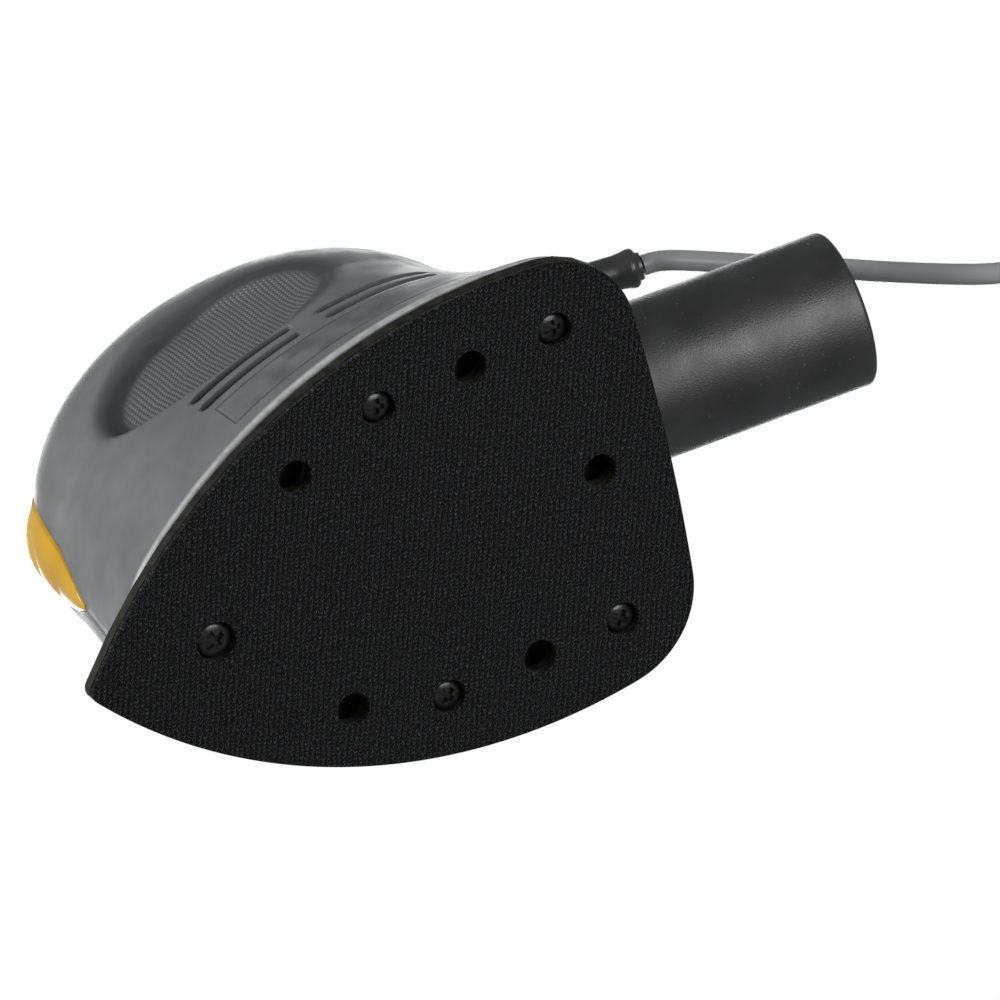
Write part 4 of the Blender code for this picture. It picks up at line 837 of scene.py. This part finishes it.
def filled_sheet(name, outlines, low, high, edge):
    """A flat sheet with holes, its edges rounded a little, from closed outlines."""
    curve = bpy.data.curves.new(name, "CURVE")
    curve.dimensions = "2D"
    curve.fill_mode = "BOTH"
    curve.extrude = (high - low) / 2 - edge
    curve.bevel_depth = edge
    curve.bevel_resolution = 1
    for outline in outlines:
        spline = curve.splines.new("POLY")
        spline.points.add(len(outline) - 1)
        for point, (x, y) in zip(spline.points, outline):
            point.co = (x, y, 0, 1)
        spline.use_cyclic_u = True
    guide = bpy.data.objects.new(name + "_guide", curve)
    bpy.context.scene.collection.objects.link(guide)
    guide.location.z = (low + high) / 2
    bpy.context.view_layer.update()
    seen = guide.evaluated_get(bpy.context.evaluated_depsgraph_get())
    mesh = bpy.data.meshes.new_from_object(seen)
    mesh.transform(guide.matrix_world)
    mesh.name = name
    bpy.data.objects.remove(guide)
    thing = bpy.data.objects.new(name, mesh)
    bpy.context.scene.collection.objects.link(thing)
    return thing


sole = closed_outline(half_outline(SOLE_NOSE_RADIUS, PAD_EDGE, (12, 90, 30, 20)))
pad_holes = [circle(x * MM, y * MM, 3.8 * MM + PAD_EDGE) for x, y in DUST_HOLES]
pad_holes += [circle(x * MM, y * MM, (r + HEAD_ROOM) * MM + PAD_EDGE) for x, y, r in PAD_SCREWS.values()]
hook_sheet = filled_sheet("hook_sheet", [sole, *pad_holes], 0, PAD_THICKNESS, PAD_EDGE)
print("hook sheet", [round(v / MM, 1) for v in hook_sheet.dimensions], "mm")


# %% Knit of the hook fabric
COLUMN_PITCH = 1.3 * MM
ROW_PITCH = 0.95 * MM
COLUMN_SLANT = math.radians(-17.5)


def hook_fabric():
    """Columns of small V-shaped stitches with a dark groove between one column and the next."""
    material = bpy.data.materials.new("hook_fabric")
    material.use_nodes = True
    tree = material.node_tree
    shader = tree.nodes["Principled BSDF"]
    where = object_space(tree)
    turned_place = add_node(
        tree, "ShaderNodeMapping", {"Vector": where, "Rotation": (0, 0, COLUMN_SLANT)}
    ).outputs[0]
    axes = add_node(tree, "ShaderNodeSeparateXYZ", {0: turned_place}).outputs
    drift = calculate(tree, "MULTIPLY", noise(tree, 5 * MM, 2, where), 1.2 * MM)
    column = calculate(tree, "DIVIDE", calculate(tree, "ADD", axes[0], drift), COLUMN_PITCH)
    off_edge = calculate(tree, "PINGPONG", column, 0.5)
    slack = calculate(tree, "MULTIPLY", noise(tree, 1.2 * MM, 2, where), 2.2)
    row = calculate(tree, "DIVIDE", axes[1], ROW_PITCH)
    row = calculate(tree, "ADD", row, calculate(tree, "MULTIPLY", off_edge, 1.4))
    row = calculate(tree, "ADD", row, slack)
    strand = calculate(tree, "SINE", calculate(tree, "MULTIPLY", row, 2 * math.pi))
    strand = calculate(tree, "MULTIPLY", between(tree, strand, -0.5, 1), between(tree, off_edge, 0.03, 0.2))
    fibre = noise(tree, 0.3 * MM, 3, where)
    height = calculate(tree, "ADD", strand, calculate(tree, "MULTIPLY", fibre, 0.6))
    tilt = bump(tree, height, 0.5 * MM)
    # Painted highlight: the strand crests are painted a lighter blue-grey in patches, standing for light on the loops;
    # the rest stays near black.
    patchy = between(tree, noise(tree, 0.7 * MM, 3, where), 0.42, 0.68)
    lit = calculate(tree, "MULTIPLY", strand, patchy)
    colour = blend_colours(tree, lit, (0.0005, 0.0005, 0.0007, 1), (0.05, 0.052, 0.06, 1))
    tree.links.new(colour, shader.inputs["Base Color"])
    tree.links.new(tilt, shader.inputs["Normal"])
    shader.inputs["Roughness"].default_value = 0.72
    shader.inputs["Specular IOR Level"].default_value = 0.1
    shader.inputs["Sheen Weight"].default_value = 0.05
    shader.inputs["Sheen Roughness"].default_value = 0.4
    return material


weave = hook_fabric()
dress(hook_sheet, weave, "pad", "pad_black", "hook_pad")

# %% Cut fibres along the edge
rng = np.random.default_rng(7)
FIBRES = 900
edge_line = closed_outline(half_outline(SOLE_NOSE_RADIUS, 0.1 * MM, (12, 90, 30, 20)))
fibre_points, fibre_faces = [], []
for number in range(FIBRES):
    i = int(rng.integers(len(edge_line)))
    here, after = Vector(edge_line[i]), Vector(edge_line[(i + 1) % len(edge_line)])
    spot = here.lerp(after, rng.random())
    out = Vector((after.y - here.y, here.x - after.x)).normalized()
    run = out * rng.uniform(0.1, 0.45) * MM + (after - here).normalized() * rng.uniform(-0.4, 0.4) * MM
    z = rng.uniform(0.2, 1.2) * MM
    tip_z = max(z + rng.uniform(-0.4, 0.4) * MM, 0.1 * MM)
    half = 0.045 * MM
    base = len(fibre_points)
    fibre_points += [
        (spot.x, spot.y, z - half),
        (spot.x, spot.y, z + half),
        (spot.x + run.x, spot.y + run.y, tip_z),
    ]
    fibre_faces.append((base, base + 1, base + 2))
pad_fibres = mesh_piece("pad_fibres", fibre_points, fibre_faces, smooth=False)
fibre_finish = finish_of(
    "fibre_black", (0.01, 0.009, 0.008), (0.06, 0.045, 0.03), 5 * MM, 0.3 * MM, 0.02 * MM, (0.6, 0.8)
)
dress(pad_fibres, fibre_finish, "pad", "pad_black")
print(FIBRES, "fibres stand out along the pad's edge")

# %% [markdown]
# ## Screws
# The pad's screws and the body's are pan heads with a cross recess. A head is a turned profile: a
# low dome, a short side and a shank. The recess is cut with a tapered cross.


# %% Turned pieces
def turned(name, profile, steps=64, closed=False):
    """A profile of (radius, height) points turned about Z."""
    points, faces = [], []
    for radius, height in profile:
        for i in range(steps):
            turn = 2 * math.pi * i / steps
            points.append((radius * math.cos(turn), radius * math.sin(turn), height))
    rings = len(profile)
    for j in range(rings if closed else rings - 1):
        below, above = j * steps, ((j + 1) % rings) * steps
        for i in range(steps):
            k = (i + 1) % steps
            faces.append((below + i, below + k, above + k, above + i))
    if not closed:
        faces.append(tuple(range(steps))[::-1])
        faces.append(tuple(range((rings - 1) * steps, rings * steps)))
    return mesh_piece(name, points, faces)


def sharpen(thing, degrees=35):
    """Smooth shading that keeps corners sharper than the given angle."""
    thing.data.set_sharp_from_angle(angle=math.radians(degrees))
    return thing


def cross_tool(name, reach, depth):
    """Two crossed bars that narrow downwards, to press a cross recess."""
    work = bmesh.new()
    for turn in (0, math.pi / 2):
        made = bmesh.ops.create_cube(work, size=1)["verts"]
        for corner in made:
            share = 1.0 if corner.co.z > 0 else 0.55
            corner.co = Vector(
                (corner.co.x * 2 * reach * share, corner.co.y * 0.32 * reach * 2 * share, corner.co.z * depth)
            )
        bmesh.ops.rotate(work, verts=made, matrix=Matrix.Rotation(turn, 3, "Z"))
    mesh = bpy.data.meshes.new(name)
    work.to_mesh(mesh)
    work.free()
    thing = bpy.data.objects.new(name, mesh)
    bpy.context.scene.collection.objects.link(thing)
    return thing


def pan_screw(name, head, shank, dome, side, length, spin):
    """A pan-head screw whose seat is at height 0 and whose head points up +Z."""
    profile = [(0.12 * head, side + dome)]
    for i in range(1, 9):
        turn = math.radians(90 - 10.5 * i)
        profile.append((head * math.cos(turn) ** 0.9, side + dome * math.sin(turn)))
    profile += [(head, side * 0.5), (head * 0.98, 0), (shank, 0), (shank, -length * 0.93), (shank * 0.6, -length)]
    screw = turned(name, profile[::-1], 48)
    bars = put_away(cross_tool(name + "_cross", head * 0.8, 2.2 * MM))
    bars.location.z = side + dome
    bars.rotation_euler.z = spin
    bpy.context.view_layer.update()
    bars.data.transform(bars.matrix_world)
    bars.matrix_world = Matrix.Identity(4)
    cut(screw, bars, crossing=True)
    bpy.context.view_layer.update()
    seen = screw.evaluated_get(bpy.context.evaluated_depsgraph_get())
    mesh = bpy.data.meshes.new_from_object(seen)
    screw.modifiers.clear()
    screw.data = mesh
    mesh.shade_smooth()
    print(name, len(mesh.polygons), "faces")
    return sharpen(screw, 38)


# %% Pad screws
screw_black = finish_of("screw_black", grey(0.012), grey(0.03), 1.5 * MM, 0.25 * MM, 0.02 * MM, (0.2, 0.36), 0.6)
HEAD_SEAT_Z = 3.1 * MM
for number, (place, (x, y, head)) in enumerate(PAD_SCREWS.items()):
    screw = pan_screw(f"pad_screw_{place}_head", head * MM, 1.75 * MM, 1.15 * MM, 1.1 * MM, 8 * MM, 0.4 + 0.9 * number)
    flip = Matrix.Rotation(math.pi, 4, "X")
    screw.data.transform(Matrix.Translation((x * MM, y * MM, HEAD_SEAT_Z)) @ flip)
    dress(screw, screw_black, "pad", "screw_black", f"pad_screw_{place}")
print(len(PAD_SCREWS), "pad screws")

# %% Body screws
steel_bright = finish_of("screw_steel", grey(0.3), grey(0.5), 2 * MM, 0.3 * MM, 0.01 * MM, (0.28, 0.4), 1.0)
BODY_SCREWS = dict(zip(("front_low", "front_middle", "front_top", "rear"), SCREW_WELLS))
for place, (x, z) in BODY_SCREWS.items():
    screw = pan_screw(f"body_screw_{place}", 2.6 * MM, 1.4 * MM, 0.9 * MM, 0.9 * MM, 15.2 * MM, 0.3)
    lay = Matrix.Rotation(math.pi / 2, 4, "X")
    screw.data.transform(Matrix.Translation((x * MM, -7.3 * MM, z * MM)) @ lay)
    dress(screw, steel_bright, "housing", "steel", f"housing_screw_{place}")
print(len(BODY_SCREWS), "body screws")

# %% [markdown]
# ## Dust port
# The port is a plain black tube with a rounded lip, pushed on a duct inside the body. Its surface
# has a satin grain, dull rubbed bands and specks of dust, which say that it has been used.

# %% Port
PORT_WALL = 2.4 * MM
PORT_ROUND = 1.2 * MM
bore = PORT_RADIUS - PORT_WALL
lip = []
for degrees in range(0, 181, 15):
    turn = math.radians(degrees)
    middle = PORT_RADIUS - PORT_ROUND
    lip.append((middle + PORT_ROUND * math.cos(turn), PORT_LENGTH - PORT_ROUND * (1 - math.sin(turn))))
port_profile = [(PORT_RADIUS, 0), (PORT_RADIUS, 20 * MM), (PORT_RADIUS, 50 * MM), *lip]
port_profile += [(bore, PORT_LENGTH * 0.5), (bore, 0)]
dust_tube = turned("dust_tube", port_profile, 128, closed=True)
sharpen(dust_tube, 50)
port_root = PORT_MOUTH - PORT_WAY * PORT_LENGTH
stand = PORT_WAY.to_track_quat("Z", "Y").to_matrix().to_4x4()
dust_tube.data.transform(Matrix.Translation(port_root) @ stand)


def used_plastic(name, dark, light, specks):
    """Black plastic with rubbed bands and fine dust."""
    material = finish_of(name, grey(dark), grey(light), 14 * MM, 0.35 * MM, 0.07 * MM, (0.36, 0.5))
    tree = material.node_tree
    shader = tree.nodes["Principled BSDF"]
    dust = between(tree, noise(tree, 0.8 * MM, 4), 0.66, 0.74)
    dust = calculate(tree, "MULTIPLY", dust, between(tree, noise(tree, 9 * MM), 0.4, 0.7))
    old_colour = shader.inputs["Base Color"].links[0].from_socket
    colour = blend_colours(tree, calculate(tree, "MULTIPLY", dust, specks), old_colour, (0.2, 0.19, 0.17, 1))
    tree.links.new(colour, shader.inputs["Base Color"])
    return material


port_plastic = used_plastic("port_plastic", 0.011, 0.02, 0.7)
dress(dust_tube, port_plastic, "port", "port_black", "dust_port")
print("port", round(PORT_RADIUS * 2 / MM, 1), "mm across")

# %% [markdown]
# ## Boot and cord finish
# The boot is a tapered sleeve that stops the cord from kinking. It swells into a collar at its
# end, and a thin ring of it hugs the cord. It is one tube whose radius changes along the way.

# %% Boot
boot_line, boot_radii = [], []
BOOT_PROFILE = [
    (-0.22, 4.9), (-0.13, 4.9), (-0.02, 4.9), (0.0, 6.1), (0.08, 6.2), (0.3, 5.5), (0.55, 4.75),
    (0.78, 4.1), (0.88, 4.05), (0.92, 4.3), (0.945, 4.6), (0.962, 4.55), (0.975, 4.1), (0.983, 3.3), (1.0, 3.1),
]
for (s0, r0), (s1, r1) in zip(BOOT_PROFILE, BOOT_PROFILE[1:]):
    for i in range(4):
        share = i / 4
        boot_line.append(boot_centre(s0 + (s1 - s0) * share))
        boot_radii.append((r0 + (r1 - r0) * share) * MM)
boot_line.append(boot_centre(1))
boot_radii.append(BOOT_PROFILE[-1][1] * MM)
cord_sleeve = tube("cord_sleeve", boot_line, boot_radii)
cord_sleeve.data.bevel_resolution = 8
sleeve_rubber = finish_of("sleeve_rubber", grey(0.02), grey(0.034), 8 * MM, 0.5 * MM, 0.02 * MM, (0.3, 0.42))
dress(cord_sleeve, sleeve_rubber, "housing", "rubber_black", "cord_boot")
cord_rubber = finish_of("cord_rubber", grey(0.2, 0.04), grey(0.26, 0.04), 25 * MM, 0.6 * MM, 0.015 * MM, (0.3, 0.42))
dress(mains_cord, cord_rubber, "housing", "cord_grey", "power_cord", "cord_coil")
print("boot", len(boot_line), "points")

# %% [markdown]
# ## Plug
# The plug lies beside the coil. Its grip is a loft of rounded sections that narrow towards the
# cord, and the ribs on its neck let it bend. The two pins are turned brass with rounded tips.

# %% Plug body
PLUG_X = COIL_CENTRE.x - PLUG_LINE_RADIUS
PLUG_TOP_Y = COIL_CENTRE.y + PLUG_NECK_AHEAD
PLUG_NECK = 26 * MM
PLUG_GRIP = 30 * MM


def plug_half_sizes(down):
    """Half-width, half-height and squareness of the plug at a distance below its neck's end."""
    if down < PLUG_NECK:
        share = down / PLUG_NECK
        rib = 0.35 * MM if 0.12 < share < 0.85 and (down / MM) % 3.2 < 1.5 else 0.0
        radius = (2.9 + 0.7 * share) * MM - rib
        return radius, radius, 2.0
    share = (down - PLUG_NECK) / PLUG_GRIP
    swell = eased(share / 0.4)
    waist = 1 - 0.1 * math.exp(-((share - 0.62) ** 2) / 0.03)
    end = 1 - 0.12 * max(0, (share - 0.9) / 0.1) ** 2
    return (3.6 + 8.4 * swell) * MM * waist * end, (3.6 + 3.4 * swell) * MM * end, 2 + 1.6 * swell


plug_points, plug_faces = [], []
PLUG_STATIONS = 140
PLUG_SIDES = 56
for j in range(PLUG_STATIONS + 1):
    down = (PLUG_NECK + PLUG_GRIP) * j / PLUG_STATIONS
    wide, tall, power = plug_half_sizes(down)
    for i in range(PLUG_SIDES):
        turn = 2 * math.pi * i / PLUG_SIDES
        c, s = math.cos(turn), math.sin(turn)
        x = PLUG_X + wide * math.copysign(abs(c) ** (2 / power), c)
        z = PLUG_AXIS_Z + tall * math.copysign(abs(s) ** (2 / power), s)
        plug_points.append((x, PLUG_TOP_Y - down, z))
for j in range(PLUG_STATIONS):
    for i in range(PLUG_SIDES):
        a, b = j * PLUG_SIDES + i, j * PLUG_SIDES + (i + 1) % PLUG_SIDES
        plug_faces.append((a, b, b + PLUG_SIDES, a + PLUG_SIDES))
plug_faces.append(tuple(range(PLUG_SIDES))[::-1])
plug_faces.append(tuple(range(PLUG_STATIONS * PLUG_SIDES, (PLUG_STATIONS + 1) * PLUG_SIDES)))
plug_grip = sharpen(mesh_piece("plug_grip", plug_points, plug_faces), 40)
dress(plug_grip, sleeve_rubber, "housing", "rubber_black", "plug_body")

# %% Plug pins
brass = finish_of("pin_brass", (0.5, 0.36, 0.15), (0.62, 0.46, 0.2), 3 * MM, 0.3 * MM, 0.01 * MM, (0.22, 0.34), 1.0)
for label in ("inner", "outer"):
    low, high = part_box(f"plug_pin_{label}")
    radius, length = (high.x - low.x) / 2, high.y - low.y
    tip = [(radius * math.cos(t), length - radius * 0.8 * (1 - math.sin(t))) for t in (0, 0.4, 0.8, 1.2)]
    pin = turned(f"pin_{label}", [(radius, 0), *tip, (radius * 0.15, length)], 40)
    lay = Matrix.Rotation(math.pi / 2, 4, "X")
    middle = Vector(((low.x + high.x) / 2, high.y, (low.z + high.z) / 2))
    pin.data.transform(Matrix.Translation(middle) @ lay)
    dress(sharpen(pin), brass, "housing", "brass", f"plug_pin_{label}")

print("plug at", [round(v / MM) for v in (PLUG_X, PLUG_TOP_Y)], "mm")

# %% [markdown]
# ## Pieces inside and below
# The CAD pieces that keep their shape get finishes too: the plate that carries the pad, the motor
# with its stacked laminations and wound copper, bearings, fans and frames. Stripes along Z show
# laminations and windings; ground steel has fine rings round its axis.


# %% Finishes for the CAD pieces
def striped(name, dark, light, pitch, depth, gloss, metallic, axis):
    """A finish with even stripes across one axis, such as stacked sheets or wound wire."""
    material = finish_of(name, dark, light, 4 * MM, 0.4 * MM, 0.01 * MM, gloss, metallic)
    tree = material.node_tree
    shader = tree.nodes["Principled BSDF"]
    place = add_node(tree, "ShaderNodeSeparateXYZ", {0: object_space(tree)}).outputs[axis]
    wave = calculate(tree, "SINE", calculate(tree, "MULTIPLY", place, 2 * math.pi / pitch))
    height = between(tree, wave, -1, 1)
    old_tilt = shader.inputs["Normal"].links[0].from_socket
    tree.links.new(bump(tree, height, depth, old_tilt), shader.inputs["Normal"])
    old_colour = shader.inputs["Base Color"].links[0].from_socket
    shade = tuple(c * 0.4 for c in dark)
    colour = blend_colours(tree, between(tree, wave, -0.5, -1), old_colour, (*shade, 1))
    tree.links.new(colour, shader.inputs["Base Color"])
    return material


plate_rim = finish_of("plate_rim", (0.003, 0.003, 0.002), (0.016, 0.015, 0.009), 2.5 * MM, 0.4 * MM, 0.12 * MM, (0.45, 0.65))
plate_rim.node_tree.nodes["Principled BSDF"].inputs["Specular IOR Level"].default_value = 0.15
CAD_FINISHES = {
    "plate_black": plate_rim,
    "rubber_black": finish_of("post_rubber", grey(0.02), grey(0.032), 5 * MM, 0.5 * MM, 0.03 * MM, (0.5, 0.65)),
    "cord_grey": cord_rubber,
    "steel": striped("ground_steel", grey(0.42), grey(0.56), 0.5 * MM, 0.01 * MM, (0.24, 0.36), 1.0, 2),
    "lamination": striped("stacked_sheets", grey(0.24), grey(0.34), 0.7 * MM, 0.05 * MM, (0.4, 0.5), 1.0, 2),
    "copper": striped("wound_copper", (0.5, 0.2, 0.09), (0.66, 0.3, 0.14), 0.8 * MM, 0.12 * MM, (0.26, 0.36), 1.0, 2),
    "brass": brass,
    "carbon": finish_of("pressed_carbon", grey(0.02), grey(0.04), 1 * MM, 0.2 * MM, 0.03 * MM, (0.6, 0.8)),
    "frame_plastic": finish_of("frame_plastic", grey(0.035), grey(0.055), 8 * MM, 0.4 * MM, 0.03 * MM, (0.45, 0.6)),
    "capacitor_case": finish_of("lacquer_red", (0.3, 0.05, 0.03), (0.42, 0.08, 0.04), 5 * MM, 0.8 * MM, 0.01 * MM, (0.2, 0.3)),
    "screw_black": screw_black,
    "housing_grey": body_grey,
    "cap_yellow": cap_gloss,
    "pad_black": weave,
    "port_black": port_plastic,
}
for part in frame["record"]["subparts"]:
    node = frame["nodes"][part["node"]]
    node.data.materials.clear()
    node.data.materials.append(CAD_FINISHES[part["material_slot"]])
